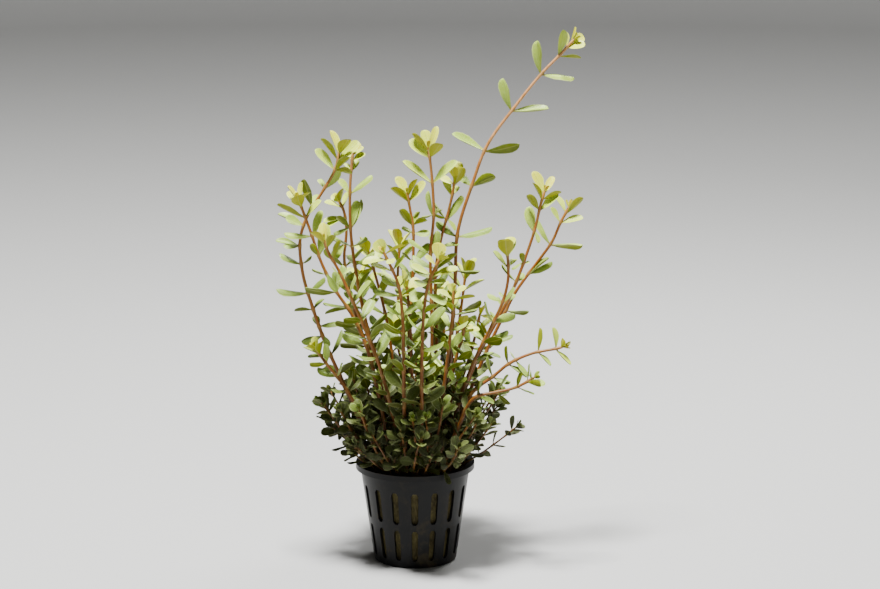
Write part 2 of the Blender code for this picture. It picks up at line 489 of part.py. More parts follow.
def finish(name, colour, roughness, metallic=0.0):
    material = bpy.data.materials.new(name)
    material.use_nodes = True
    shader = material.node_tree.nodes["Principled BSDF"]
    shader.inputs["Base Color"].default_value = (*colour, 1.0)
    shader.inputs["Roughness"].default_value = roughness
    shader.inputs["Metallic"].default_value = metallic
    return material


def pot_angles():
    """The pot's corners all round: each slot is one flat and each rib between two slots is another."""
    pitch = 360 / SLOT_COUNT
    edges = (-SLOT_DEGREES / 2, SLOT_DEGREES / 2)
    return [math.radians(i * pitch + edge) for i in range(SLOT_COUNT) for edge in edges]


def make_pot(material):
    """The pot as one skin, turned from its underside up to the lip, less the slots, then given its wall."""
    lip = POT_NECK_RADIUS + LIP_REACH
    levels = sorted({0.0, POT_NECK, *(z for tier in SLOT_TIERS for z in tier)})
    profile = [(HUB_RADIUS, 0.0), (FLOOR_SLOT_END, 0.0)]
    profile += [(POT_FOOT_RADIUS + POT_SLOPE * z, z) for z in levels]
    profile += [(lip, POT_NECK), (lip, POT_HEIGHT - LIP_DROP)]
    slotted = {0} | {2 + levels.index(low) for low, _ in SLOT_TIERS}
    angles = pot_angles()
    around = len(angles)
    vertices = [(r * math.cos(a), r * math.sin(a), z) for r, z in profile for a in angles]
    faces = [tuple(reversed(range(around)))]
    for ring in range(len(profile) - 1):
        for i in range(around):
            if ring in slotted and i % 2 == 0:
                continue
            j = (i + 1) % around
            low, high = ring * around, (ring + 1) * around
            faces.append((low + i, low + j, high + j, high + i))
    pot = new_object("pot", vertices, faces, [material], closed=False)
    wall = pot.modifiers.new("wall", "SOLIDIFY")
    wall.thickness = POT_WALL * MM
    wall.offset = -1.0
    wall.use_even_offset = True
    return pot


def make_wool(material, stems):
    """The plug, faceted as the pot is so that it clears the wall evenly, with a socket for each stem."""
    inset = POT_WALL * math.hypot(1, POT_SLOPE) + GAP
    low = POT_WALL + GAP
    rings = [(POT_FOOT_RADIUS + POT_SLOPE * z - inset, z) for z in (low, WOOL_TOP)]
    angles = pot_angles()
    around = len(angles)
    vertices = [(r * math.cos(a), r * math.sin(a), z) for r, z in rings for a in angles]
    faces = [tuple(range(around)), tuple(range(around, 2 * around))]
    faces += [(i, (i + 1) % around, around + (i + 1) % around, around + i) for i in range(around)]
    wool = new_object("wool", vertices, faces, [material])
    corners, sides = [], []
    for stem, radius in stems:
        point, _, side, other = stem.at(0.0)
        reach = radius + SOCKET_GAP
        start = len(corners)
        for z in (point[2] - GAP, WOOL_TOP + SOCKET_CUTTER_RISE):
            for a, b in ((-1, -1), (1, -1), (1, 1), (-1, 1)):
                corner = point + side * reach * a + other * reach * b
                corners.append((corner[0], corner[1], z))
        sides += [[start + k for k in face] for face in
                  ((0, 3, 2, 1), (4, 5, 6, 7), (0, 1, 5, 4), (1, 2, 6, 5), (2, 3, 7, 6), (3, 0, 4, 7))]
    cutter = new_object("socket_cutter", corners, sides, [])
    cutter.hide_render = True
    cutter.display_type = "WIRE"
    cut = wool.modifiers.new("sockets", "BOOLEAN")
    cut.operation = "DIFFERENCE"
    cut.use_self = True
    cut.object = cutter
    return wool


def tree_of(vertices, faces):
    """A search tree over a mesh in millimetres, with its box."""
    points = np.array(vertices)
    return BVHTree.FromPolygons([Vector(v) for v in vertices], faces), points.min(0), points.max(0)


def touches(one, other):
    """Whether two search trees overlap, their boxes being tested first."""
    if (one[1] > other[2]).any() or (other[1] > one[2]).any():
        return False
    return bool(one[0].overlap(other[0]))


def ring_at(stem, distance, half_width):
    """The stem's four corners at a distance along it."""
    point, _, side, other = stem.at(distance)
    return [point + (side * a + other * b) * half_width for a, b in ((1, -1), (1, 1), (-1, 1), (-1, -1))]


def stem_rings(plan, stem, radius):
    """The rings of corners up the stem, and the (ring, place) of the short band that carries each pair."""
    stops, bands = [0.0, STEM_DEPTH], {}
    for order, place in reversed(leaf_joints(plan, stem)):
        if place - stops[-1] > LONG_INTERNODE:
            count = int((place - stops[-1]) // LONG_INTERNODE)
            start = stops[-1]
            stops += [start + (place - start) * k / (count + 1) for k in range(1, count + 1)]
        bands[order] = (len(stops), place)
        stops += [place - JOINT_HALF, place + JOINT_HALF]
    taper = [radius * (1 - STEM_TAPER * s / stem.length) for s in stops]
    return [ring_at(stem, s, r) for s, r in zip(stops, taper)], bands


def tube_mesh(rings, tip):
    """The bare stem, for testing what it touches."""
    vertices = [v for ring in rings for v in ring] + [tip]
    faces = [(0, 1, 2, 3)]
    for i in range(len(rings) - 1):
        faces += [(4 * i + k, 4 * i + (k + 1) % 4, 4 * i + 4 + (k + 1) % 4, 4 * i + 4 + k) for k in range(4)]
    last = 4 * (len(rings) - 1)
    faces += [(last + k, last + (k + 1) % 4, last + 4) for k in range(4)]
    return vertices, faces


class Shoot:
    """One shoot as it is built: the stem first, and then the leaves that find room."""

    def __init__(self, plan):
        self.plan = plan
        route = plan.get("route") or planned_route(plan)
        self.radius = THIN_STEM_RADIUS if plan["thin"] else STEM_RADIUS
        self.stem = Stem(route, plan["phase"])
        rings, self.bands = stem_rings(plan, self.stem, self.radius)
        self.vertices, self.faces = tube_mesh(rings, self.stem.at(self.stem.length)[0])
        self.leafy = [0] * len(self.faces)
        self.tree = tree_of(self.vertices, self.faces)

    def grow(self, others, leaves):
        """Adds each leaf that a free side of the stem faces and that clears every other piece."""
        lowest = max(self.bands)
        for order, (ring, place) in sorted(self.bands.items()):
            draw = random.Random(f"{self.plan['name']} {order}")
            if order in self.plan["leaves"]:
                pair = set_leaves(self.plan, order)
            else:
                pair = ruled_leaves(self.plan, self.stem, order, place, lowest, draw)
            free = [0, 1, 2, 3]
            for leaf in pair:
                quarter, facing = self.nearest_quarter(place, leaf, free)
                if facing > LEAST_FACING:
                    free.remove(quarter)
                    self.add_leaf(ring, place, quarter, leaf, others, leaves)

    def nearest_quarter(self, place, leaf, free):
        """The free side of the stem that faces most nearly along the leaf, and the cosine between them."""
        _, _, side, other = self.stem.at(place)
        outward = (side, other, -side, -other)
        best = max(free, key=lambda quarter: outward[quarter] @ leaf["axis"])
        return best, outward[best] @ leaf["axis"]

    def root_corners(self, ring, quarter, twist):
        """The corners of the band's side that a leaf grows on, turned to follow the blade's twist."""
        low, high, after = 4 * ring, 4 * ring + 4, (quarter + 1) % 4
        corners = [low + quarter, low + after, high + after, high + quarter]
        turned = round(math.degrees(twist) / 90)
        return corners[turned:] + corners[:turned]

    def add_leaf(self, ring, place, quarter, leaf, others, leaves):
        """Adds the fullest form of the leaf that fits: less twist is tried first, and then less length."""
        tangent = self.stem.at(place)[1]
        owner = (self.plan["name"], ring)
        others = others + [tree for name, tree in leaves if name != owner]
        for share, twist_held in itertools.product(SHORTER, TWIST_HELD):
            tried = {
                **leaf, "length": leaf["length"] * share, "width": leaf["width"] * held_width(share),
                "twist": leaf["twist"] * twist_held,
            }
            corners = self.root_corners(ring, quarter, tried["twist"])
            root = sum(np.array(self.vertices[c]) for c in corners) / 4
            index = corners + list(range(len(self.vertices), len(self.vertices) + FREE_CORNERS))
            faces = [tuple(index[c] for c in face) for face in LEAF_FACES]
            points = leaf_points(root, tangent, tried)
            base = [np.array(self.vertices[c]) + leaf["axis"] * CLEARANCE for c in corners]
            tested = tree_of(base + leaf_points(root, tangent, tried, CLEARANCE), CLOSED_LEAF_FACES)
            if not self.is_cut_by(points, faces) and not any(touches(tested, tree) for tree in others):
                break
        else:
            return
        self.vertices += points
        root_face = next(i for i, face in enumerate(self.faces) if set(face) == set(corners))
        del self.faces[root_face], self.leafy[root_face]
        self.faces += faces
        self.leafy += [1] * len(faces)
        solid = [self.vertices[c] for c in corners] + points
        leaves.append((owner, tree_of(solid, CLOSED_LEAF_FACES)))

    def is_cut_by(self, points, faces):
        """Whether the faces of a leaf cut each other, or the shoot so far, where they share no corner."""
        leaf = BVHTree.FromPolygons([Vector(v) for v in self.vertices + points], faces)
        solid = BVHTree.FromPolygons([Vector(v) for v in self.vertices], self.faces)
        pairs = [(faces[a], self.faces[b]) for a, b in leaf.overlap(solid)]
        pairs += [(faces[a], faces[b]) for a, b in leaf.overlap(leaf)]
        return any(not set(one) & set(other) for one, other in pairs)


def grown_shoots(pot_tree):
    """Every shoot with its leaves."""
    grown = [Shoot(plan) for plan in SHOOTS]
    grown += [Shoot(low_shoot(place, f"shoot_low_{i:02d}")) for i, place in enumerate(LOW_TURNS, 1)]
    leaves = []
    for one in grown:
        one.grow([pot_tree] + [other.tree for other in grown if other is not one], leaves)
    return grown


def pot_search_tree(pot):
    graph = bpy.context.evaluated_depsgraph_get()
    mesh = pot.evaluated_get(graph).to_mesh()
    return tree_of([tuple(v.co / MM) for v in mesh.vertices], [tuple(p.vertices) for p in mesh.polygons])


def main():
    for obj in list(bpy.data.objects):
        bpy.data.objects.remove(obj)
    black = finish("black_plastic", (0.018, 0.018, 0.02), 0.42)
    fibre = finish("mineral_wool", (0.16, 0.13, 0.06), 0.95)
    bark = finish("stem", (0.30, 0.13, 0.05), 0.5)
    green = finish("leaf", (0.22, 0.33, 0.07), 0.5)
    pot = make_pot(black)
    bpy.context.view_layer.update()
    shoots = grown_shoots(pot_search_tree(pot))
    make_wool(fibre, [(one.stem, one.radius) for one in shoots])
    for one in shoots:
        new_object(one.plan["name"], one.vertices, one.faces, [bark, green], one.leafy)


main()
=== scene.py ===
import json
import math
import random
import bmesh
import bpy
import numpy as np
from mathutils import Matrix, Vector

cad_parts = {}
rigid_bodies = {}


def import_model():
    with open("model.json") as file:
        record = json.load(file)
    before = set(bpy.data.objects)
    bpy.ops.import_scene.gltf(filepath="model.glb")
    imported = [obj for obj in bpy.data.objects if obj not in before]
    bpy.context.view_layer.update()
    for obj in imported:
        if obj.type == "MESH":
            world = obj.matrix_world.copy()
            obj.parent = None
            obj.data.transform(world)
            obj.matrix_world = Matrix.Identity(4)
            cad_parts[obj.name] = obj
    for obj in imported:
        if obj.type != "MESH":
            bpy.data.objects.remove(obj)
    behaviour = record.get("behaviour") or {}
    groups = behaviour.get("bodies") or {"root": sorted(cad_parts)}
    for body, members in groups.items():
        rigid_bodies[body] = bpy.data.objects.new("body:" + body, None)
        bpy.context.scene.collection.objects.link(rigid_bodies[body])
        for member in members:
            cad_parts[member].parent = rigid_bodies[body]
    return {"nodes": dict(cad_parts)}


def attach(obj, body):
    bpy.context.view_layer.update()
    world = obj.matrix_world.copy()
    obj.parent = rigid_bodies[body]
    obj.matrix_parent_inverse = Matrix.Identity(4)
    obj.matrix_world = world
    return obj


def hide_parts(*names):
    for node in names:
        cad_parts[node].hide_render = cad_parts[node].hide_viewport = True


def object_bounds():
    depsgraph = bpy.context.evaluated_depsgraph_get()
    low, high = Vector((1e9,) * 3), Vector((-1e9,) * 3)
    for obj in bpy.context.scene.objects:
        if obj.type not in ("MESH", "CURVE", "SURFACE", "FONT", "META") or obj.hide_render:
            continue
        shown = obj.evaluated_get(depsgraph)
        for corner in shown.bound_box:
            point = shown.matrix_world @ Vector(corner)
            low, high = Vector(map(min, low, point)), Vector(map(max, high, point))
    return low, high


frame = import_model()
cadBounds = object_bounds()
mm = 0.001
upward = np.array([0.0, 0.0, 1.0])
print("frame loaded,", len(frame["nodes"]), "nodes")

# Where the shoots stand: rows from front (-4) to back (4), drawn in a front view that looks down a little
growth = {
    "sightDegrees": 12.0, "rowStep": 3.8, "rowFlare": 4.6, "flareHeight": 15.0, "rowDrift": 0.018,
    "rim": 45.0, "woolTop": 42.0, "rooted": 8.0, "bare": 15.0, "tipGaps": (2.6, 5.0), "budLength": 1.6,
}

# Stems: radii in millimetres at the foot and at the tip, how the joints swell, and how the bud ends
stems = {
    "radii": (1.0, 0.58), "thinRadii": (0.66, 0.42), "swelling": 0.32, "swellingLength": 1.1, "step": 1.3,
    "fewest": 4, "sides": 9, "budTaper": 2.2, "budEnd": 0.3, "ageSpan": 150.0, "leafSeat": 0.6,
}

# Leaf rule from the tip downwards: share of full length, pitch in degrees off the stem, and bend
leafRule = {
    "young": (0.6, 0.8, 0.95, 1.0), "pitch": (24, 40, 50, 57, 62), "bend": (0.16, 0.1, 0.0, -0.08),
    "widthHeld": 0.4, "matureAge": 0.5, "oldLoss": 0.3, "oldSpread": 10,
    "setBends": (0.03, 0.1, -0.05), "setTurns": (30, 22, -34), "setLevel": 2.0,
    "rosettePairs": 2, "rosetteLonger": 1.08, "rosetteWider": 1.2,
    "strayTurn": 13, "strayPitch": (-11, 13), "strayTwist": 36, "straySize": (0.88, 1.1),
    "strayBend": (-0.1, 0.08),
}


def rowDepth(row, up):
    up = max(up, 0.0)
    flare = growth["rowFlare"] * (1 - math.exp(-up / growth["flareHeight"]))
    return row * (growth["rowStep"] + flare + growth["rowDrift"] * up)


def frontPoint(row, across, up):
    sight = math.radians(growth["sightDegrees"])
    depth = rowDepth(row, up)
    return np.array([across, depth, growth["rim"] + (up - depth * math.sin(sight)) / math.cos(sight)])


def shoot(name, row, foot, way, gap=9.5, blade=(12.4, 4.9), phase=45.0, gaps=growth["tipGaps"], leaves=None):
    start = np.array([foot, rowDepth(row, 0), growth["woolTop"]])
    return {
        "name": "shoot_" + name, "route": [start] + [frontPoint(row, *point) for point in way], "gap": gap,
        "blade": blade, "phase": phase, "gaps": gaps, "leaves": leaves or {}, "radii": stems["radii"],
        "bare": growth["bare"],
    }


# Each route as (across, up) from the pot's rim in the front view; leaves as (across, up, back, width, twist)
shoots = [
    shoot("tall", 1, 8, [(11, 20), (15, 42), (17, 64), (18, 82), (19, 102), (25.6, 124), (31.6, 140),
          (44.4, 158), (57.6, 174), (65.6, 182), (70.5, 187.5)], blade=(14.0, 5.4), gaps=(3.2, 5.2, 11.3,
          20.7, 21.8, 16.7, 23.8, 15.6, 20, 13, 12), leaves={
        0: ((1.8, 6.4, 2, 3.6, 0), (5.2, 2.8, 2, 4.2, 35)),
        1: ((6.6, 1.8, -1, 4.6, 45), (-0.8, 5.4, 2, 2.6, -30)),
        2: ((1.4, 13.6, -2, 5.6, -65), (9.2, -1.0, 1, 3.6, -20)),
        3: ((-1.6, 14.4, -1, 5.0, -65), (14.2, -0.6, 1, 4.2, 15)),
        4: ((-3.4, 14.0, -2, 5.0, -65), (15.6, -0.4, 1, 4.8, 20)),
        5: ((-14.4, 6.0, 1, 4.8, -35), (15.0, 3.6, -3, 5.2, -55)),
        6: ((-4.8, 5.0, 3, 4.4, -40), (9.8, 5.4, -2, 5.4, -55)),
        7: ((-8.4, 6.8, 2, 4.4, -45), (15.4, 3.0, -1, 4.8, 25)),
        8: ((10.4, -1.0, 0, 3.2, 0), (-4.0, 4.0, 3, 3.6, 0)),
        9: ((10.4, 3.0, -1, 3.6, -20), (-7.0, 3.5, 2, 4.0, 0))}),
    shoot("right_inner", 0, 12, [(21.6, 30), (29, 49), (37, 64), (43.4, 76.5), (49, 91), (53.5, 105),
          (56, 116), (57.6, 121)], gap=10, phase=40, gaps=(2.6, 5, 10, 15, 9), leaves={
        0: ((-4.2, 8.4, 2, 4.4, -40), (3.6, 6.6, 3, 3.0, 0)),
        1: ((-3.0, 7.4, -3, 4.4, 0), (7.4, 2.6, -2, 4.0, -20)),
        2: ((-5.0, 6.4, -2, 4.8, 40), (7.8, 7.0, -1, 5.0, 45)),
        3: ((-1.8, 10.6, 2, 5.0, -60), (1.6, -4.6, -2, 2.6, 0)),
        4: ((-5.0, -2.6, 0, 2.4, 0), (-0.6, 4.6, -2, 2.8, 0), (2.2, 0.6, 0, 1.8, 0)),
        5: ((-6.4, 7.0, 0, 2.4, 30), (3.0, 3.0, 4, 3.6, 0)),
        6: ((3.0, 2.4, 5, 3.2, 0), (-2.4, 3.6, 4, 3.0, 0)),
        7: ((3.6, 2.0, 4, 3.2, 0), (-3.0, 3.0, 3, 3.2, 0))}),
    shoot("right_outer", 1, 14.5, [(25, 32), (32, 49), (39.5, 65), (44.5, 75), (50, 83), (56, 91), (61, 98),
          (65.5, 108), (69.5, 115)], gap=11, phase=55, gaps=(2.6, 5, 11, 16, 20, 16.5, 5), leaves={
        0: ((-1.0, 3.0, 0, 1.8, 0), (1.2, 3.0, 0, 1.8, 0)),
        1: ((-3.6, 6.6, 2, 3.8, 0), (6.8, 6.0, -1, 4.0, -30)),
        2: ((-4.6, 6.0, 0, 3.8, -35), (11.2, 2.8, -1, 5.0, 35)),
        3: ((-5.4, 10.8, 1, 4.4, 0), (13.8, 1.4, -2, 5.2, -30)),
        4: ((7.8, 8.0, -2, 5.2, 55), (10.2, 4.6, 0, 4.2, 35)),
        5: ((9.6, -0.6, -2, 4.4, -30), (-3.0, 5.0, 4, 3.6, 0)),
        6: ((9.6, 3.6, 1, 3.8, 20), (-4.0, 4.0, 4, 3.6, 0)),
        7: ((6.2, -1.4, -1, 2.8, 0), (-2.0, 2.0, -5, 3.2, 0))}),
    shoot("right_short", -1, 13.5, [(20.5, 30), (28, 49), (35, 63), (39, 72), (41.2, 82), (41, 90),
          (40.4, 96)], gap=10, phase=30, gaps=(2.6, 5, 16), leaves={
        0: ((-1.0, 5.0, -2.4, 5.6, 0), (1.4, 4.8, 3, 5.2, 0)),
        1: ((-0.8, 7.4, -2.8, 6.0, 0), (1.8, 6.6, 4, 5.4, 0)),
        2: ((-6.8, 6.6, -1, 4.2, -25), (3.0, 2.0, 6, 4.0, 0)),
        3: ((-6.4, 3.2, 0, 3.4, 0), (3.8, 7.2, -1, 3.2, 60))}),
    shoot("side_right", -2, 14, [(21, 23), (26, 32), (35, 39), (41, 44), (52, 49), (62, 51), (66, 52)],
          gap=9, blade=(9.0, 3.4), phase=80, gaps=(2.3, 7.8, 10.8, 3.6), leaves={
        0: ((4.0, 1.8, 1, 4.0, 20), (1.4, 3.2, -1, 3.4, 0)),
        1: ((-0.8, 8.2, 1, 3.2, -40), (5.2, -6.4, -1, 2.8, 25)),
        2: ((-0.2, 10.0, 1, 3.2, 0), (5.2, -5.6, -1, 2.8, 0)),
        3: ((5.8, -6.4, -1, 3.4, 0), (-1.5, 2.0, 5, 3.2, 0)),
        4: ((8.0, -4.8, -1, 3.8, 0), (-1.2, 7.6, 0, 2.8, 0))}),
    shoot("side_low", -3, 12.5, [(20, 18), (27, 30), (36, 32), (44, 34), (50, 37), (53, 39)], gap=9,
          blade=(8.5, 3.4), phase=20, leaves={
        0: ((4.8, -1.6, -1, 3.8, 0), (-0.4, 3.2, -2, 3.4, 0))}),
    shoot("left_outer", -1, -12, [(-24, 18), (-31, 34), (-39, 52), (-45, 69), (-49.5, 86), (-50, 100),
          (-46.5, 110), (-40, 120), (-34, 131), (-32.4, 138)], gaps=(2.6, 5, 9.5, 9.5, 9.5, 9.5, 8, 13.4,
          7.8, 8.2, 4.5), leaves={
        0: ((-3.2, 8.6, 3, 4.6, 0), (3.4, 6.6, -3, 5.2, 0)),
        1: ((-5.8, 8.6, 0, 4.2, 35), (8.2, 6.2, 2, 4.4, 40)),
        2: ((-8.5, 8.0, 1, 4.8, -45), (7.0, -0.9, -2, 4.4, -45), (6.0, 6.8, -3, 5.0, 0)),
        3: ((6.2, 9.4, 1, 5.0, 55), (-1.0, 3.0, 8, 4.4, 0)),
        4: ((-2.8, 12.2, -1, 4.6, 60), (2.0, 3.0, 8, 4.2, 0)),
        5: ((-7.6, 3.0, -3, 5.2, -40), (-11.0, 4.2, 3, 4.4, -15)),
        6: ((-12.0, 2.6, 1, 3.8, 0), (-6.4, 1.2, -2, 4.2, -20)),
        7: ((-8.4, 5.6, -2, 5.2, 0), (4.2, 3.0, 1, 3.8, 0)),
        8: ((-13.4, 1.0, -2, 4.6, -25), (7.2, 7.0, -2, 5.0, 0)),
        9: ((-7.8, -0.4, -1, 4.0, 30), (4.0, 4.0, 4, 3.8, 0)),
        10: ((8.8, 2.6, -2, 4.4, 20), (-2.0, 3.0, 5, 3.4, 0)),
        11: ((-8.6, -3.2, 1, 4.6, -40), (2.4, -5.0, -1, 3.2, 0))}),
    shoot("left_front", -2, -8, [(-15, 26), (-21.5, 53), (-28, 67), (-35, 77.5), (-41, 90), (-45, 102),
          (-49, 113), (-50.5, 117)], gap=9, phase=35, leaves={
        0: ((-4.0, 6.2, -1, 4.6, -30), (3.8, 3.6, -1, 4.0, -20), (1.2, 6.6, 3, 3.2, 0)),
        1: ((-4.8, 5.8, 3, 4.4, 0), (-1.0, 4.6, -5, 5.2, 0)),
        2: ((-12.0, 4.4, 0, 4.2, 0), (6.6, 7.0, 0, 4.2, 0)),
        3: ((-11.5, 1.4, -1, 4.2, 0), (3.4, 10.8, 1, 4.0, 60)),
        4: ((2.6, 11.6, 2, 5.0, 60), (-2.6, 5.4, -2, 2.8, 0)),
        5: ((-5.8, 2.0, -1, 3.8, 20), (4.6, -7.6, -2, 3.4, 0)),
        7: ((-9.6, -1.4, -1, 3.8, 30), (4.0, 5.0, 2, 4.0, 0))}),
    shoot("left_mid", -3, -5.5, [(-10.5, 26), (-16, 46), (-22, 61), (-28, 75), (-33, 86), (-37, 93),
          (-39, 99)], gap=9, phase=60, gaps=(2.6, 6, 8, 8, 4.8), leaves={
        1: ((-1.6, 8.8, 3, 5.4, 0), (3.0, 5.0, -2, 3.8, 0)),
        2: ((3.6, 8.0, -1, 4.4, 0), (-3.2, 4.4, 1, 2.8, 0)),
        3: ((-3.2, 4.4, -1, 2.6, 0), (3.5, 3.0, 4, 4.0, 0)),
        4: ((1.8, 7.6, -2, 4.8, 0), (-4.0, 4.0, 3, 4.0, 0)),
        5: ((8.2, 8.4, -1, 4.6, 20), (-3.0, 4.0, 4, 4.0, 0))}),
    shoot("left_back", 0, -5, [(-11, 30), (-19, 52), (-23, 68), (-26, 84), (-28.4, 104), (-28.4, 122),
          (-27.6, 133), (-27, 138)], gap=10, phase=50, gaps=(2.6, 5, 9.7, 15.5, 8.5, 8.5), leaves={
        0: ((1.6, 5.0, 2, 3.8, 0), (3.6, 3.2, 1, 3.0, 0)),
        1: ((4.6, 3.0, 1, 3.2, 30), (-1.6, 3.0, 4, 3.2, 0)),
        2: ((2.6, 3.6, 5, 3.6, 0), (-2.6, 3.0, 3, 3.2, 0)),
        3: ((-4.7, 6.0, 1, 3.8, -35), (8.6, 8.4, 0, 4.0, 35)),
        4: ((2.6, 11.8, 2, 4.8, 60), (5.4, 11.6, 4, 4.6, -50), (-5.4, 5.4, -2, 4.0, 40),
            (-7.2, -2.2, 0, 4.0, 0)),
        6: ((8.2, 5.8, 0, 3.4, 0), (-3.0, 4.0, 4, 4.0, 0))}),
    shoot("left_rear", 1, -5, [(-14, 34), (-24, 58), (-29, 74), (-31.6, 91), (-30.6, 105), (-32, 113),
          (-34.4, 117.5)], gap=9.5, phase=25, gaps=(2.6, 5, 12.5), leaves={
        0: ((1.2, 6.0, -3, 4.8, 0), (-2.8, 2.9, 2, 3.2, 0)),
        1: ((-6.6, 2.8, -1, 4.4, 0), (2.5, 5.0, 4, 4.0, 0)),
        2: ((-9.0, -2.6, 0, 4.2, -25), (-7.6, -3.8, -2, 3.8, 0)),
        3: ((-7.0, 4.0, 0, 4.0, 20), (-5.0, -6.0, -2, 4.6, -50))}),
    shoot("left_inner", 2, -7.5, [(-9, 30), (-11.5, 54), (-14, 68), (-17, 80), (-19.8, 90), (-21.4, 95.5)],
          gap=9, phase=45, gaps=(2.6, 5, 13, 8.6), leaves={
        0: ((-2.2, 5.6, -3, 4.8, 0), (5.0, 4.0, -1, 3.4, 0), (-4.0, 5.8, 2, 3.2, 0)),
        4: ((-9.4, 8.2, 0, 4.6, -15), (5.0, 4.0, 2, 4.0, 0))}),
    shoot("centre_left", -4, -4, [(-4.5, 30), (-4.6, 49), (-5, 66), (-7, 80), (-11, 89), (-13.2, 93.5)],
          gap=8.5, blade=(12.5, 5.2), phase=50, gaps=(2.6, 5.2, 7.8, 4.2, 8.6), leaves={
        0: ((-3.0, 5.2, 2, 5.8, 0), (7.4, 4.0, 0, 4.2, -20)),
        1: ((-9.4, -0.6, -1, 4.4, -20), (2.4, -1.0, -4, 3.6, 0)),
        2: ((-8.8, 1.8, -1, 4.6, -10), (4.6, 5.4, -1, 3.4, 0)),
        3: ((-6.6, 4.6, 1, 4.2, -30), (-8.4, 5.8, 3, 5.0, 0), (4.0, 5.0, 2, 4.0, 0)),
        4: ((-11.2, 3.4, 0, 4.4, -15), (6.0, 2.0, 2, 4.4, 0)),
        5: ((-7.0, 4.4, -1, 4.2, -20), (6.0, 3.0, 1, 4.2, 0))}),
    shoot("centre_front", -3, -0.8, [(-1, 30), (-1.4, 54), (-2.2, 68), (-3.2, 79)], gap=8.5,
          blade=(12.0, 5.0), phase=35, leaves={
        0: ((-3.8, 4.2, 1, 5.2, -30), (4.6, 3.4, 1, 5.4, 30), (-2.4, 7.2, 2, 4.2, 0)),
        1: ((-1.5, 1.0, -6, 5.4, 0), (5.4, -2.8, -2, 5.2, 30)),
        2: ((-5.0, 2.0, -3, 4.6, 0), (6.4, 1.0, -2, 5.0, 20))}),
    shoot("centre_right", -4, 2.5, [(3.2, 30), (3.4, 49), (4.2, 66), (6.4, 80), (10, 88), (11.6, 91)],
          gap=8.5, blade=(12.5, 5.2), phase=45, gaps=(2.6, 5, 3.4, 5, 8.6), leaves={
        0: ((-0.2, 6.4, 2, 5.8, 0), (2.8, 2.6, -3, 3.8, 0)),
        1: ((-3.8, 3.8, -2, 3.6, 0), (4.4, 3.2, 2, 3.6, 0)),
        2: ((-8.8, 3.4, -1, 5.0, -20), (11.0, 3.2, -1, 5.2, 20)),
        3: ((-5.6, 0.6, -3, 4.8, -20), (6.8, 1.2, -1, 4.2, 20)),
        4: ((-6.4, -2.4, -2, 5.0, -30), (7.6, -4.8, -2, 4.6, 30))}),
    shoot("centre_back", 2, -1.5, [(-2, 30), (-2.8, 59), (-1.4, 76), (-0.8, 93), (-1, 106), (-2.6, 115),
          (-3.6, 121)], gap=10, phase=50, gaps=(2.6, 11, 4, 12.8), leaves={
        0: ((-4.4, 7.4, 2, 4.6, -20), (3.1, 7.2, -1, 3.8, -20)),
        1: ((-6.4, 6.8, -3, 4.8, 20), (6.8, 7.4, 1, 4.2, 45)),
        2: ((-5.2, 7.0, -2, 4.8, 35), (5.8, 2.6, -2, 4.4, -40), (2.0, 5.6, 3, 3.8, 0)),
        3: ((6.8, 0.6, -1, 4.6, 40), (-4.0, 3.0, 4, 4.0, 0)),
        4: ((6.2, 8.4, 1, 4.6, 50), (-5.0, 3.0, 2, 4.0, 0))}),
    shoot("centre_high", 0, 2.4, [(6.5, 34), (7.6, 55), (7.3, 75), (7, 94), (8.4, 110), (7.8, 124),
          (6.8, 134), (6, 140)], gap=11, phase=40, gaps=(3.2, 11.5, 14.5, 17.5), leaves={
        0: ((-1.8, 7.6, 3, 4.2, 0), (2.8, 9.4, 1, 3.0, 60), (-6.6, 6.4, -2, 3.6, 20)),
        1: ((-7.4, 7.2, 0, 5.0, -60), (4.2, 5.4, -3, 5.6, -30)),
        2: ((-13.2, 8.6, 0, 4.4, -35), (10.6, 9.6, -1, 5.0, 45)),
        3: ((-1.8, 11.0, -1, 4.2, -55), (3.0, 1.5, 8, 4.0, 0), (-4.6, -0.8, -3, 4.2, 30)),
        4: ((-8.8, 7.6, 0, 3.0, 0), (3.2, 10.4, 0, 4.2, 60))}),
    shoot("centre_lean", 1, 3.2, [(8, 34), (9.6, 54), (9, 74), (9.8, 90), (12, 101), (15, 112), (17, 121),
          (18, 128)], gap=10, phase=65, gaps=(2.6, 5, 11, 13), leaves={
        0: ((-0.8, 5.6, -3, 4.8, 0), (1.6, 6.6, 3, 4.2, 0)),
        1: ((-5.0, 2.8, 0, 4.0, -30), (3.2, 7.2, -2, 4.8, 0)),
        2: ((-3.8, 6.8, 1, 4.2, -40), (2.0, 3.0, 6, 3.6, 0)),
        3: ((-5.4, 8.0, 0, 3.8, 20), (5.8, 10.8, 1, 4.6, 30), (-4.8, 1.8, -1, 3.4, 0),
            (3.4, -5.0, -1, 3.0, 0)),
        4: ((8.2, 1.8, -1, 3.6, 0), (-4.0, 4.0, 3, 4.0, 0))}),
    shoot("right_bud", -2, 8, [(12.4, 30), (14.8, 49), (16.6, 66), (17.2, 77)], gap=9, blade=(10.5, 4.4),
          phase=55, leaves={
        0: ((-0.8, 3.8, 1, 3.4, 0), (4.4, 2.8, 0, 3.6, 0)),
        1: ((-5.4, 3.8, -1, 3.6, 0), (8.4, 0.2, 0, 2.8, 0))}),
    shoot("cross", 2, 10, [(19, 30), (25, 48), (28, 60), (29.4, 67)], gap=8, blade=(11.0, 4.4), leaves={
        0: ((2.4, 5.2, -2, 3.6, 0), (5.4, -0.8, -2, 3.6, 0)),
        1: ((-5.6, -1.0, -2, 3.4, 0), (2.0, -5.6, -1, 3.0, 0))}),
    shoot("right_stub", -1, 9, [(15.5, 34), (19, 49), (21.4, 57), (22, 62.5)], gap=8, blade=(10.5, 4.4),
          phase=35, leaves={
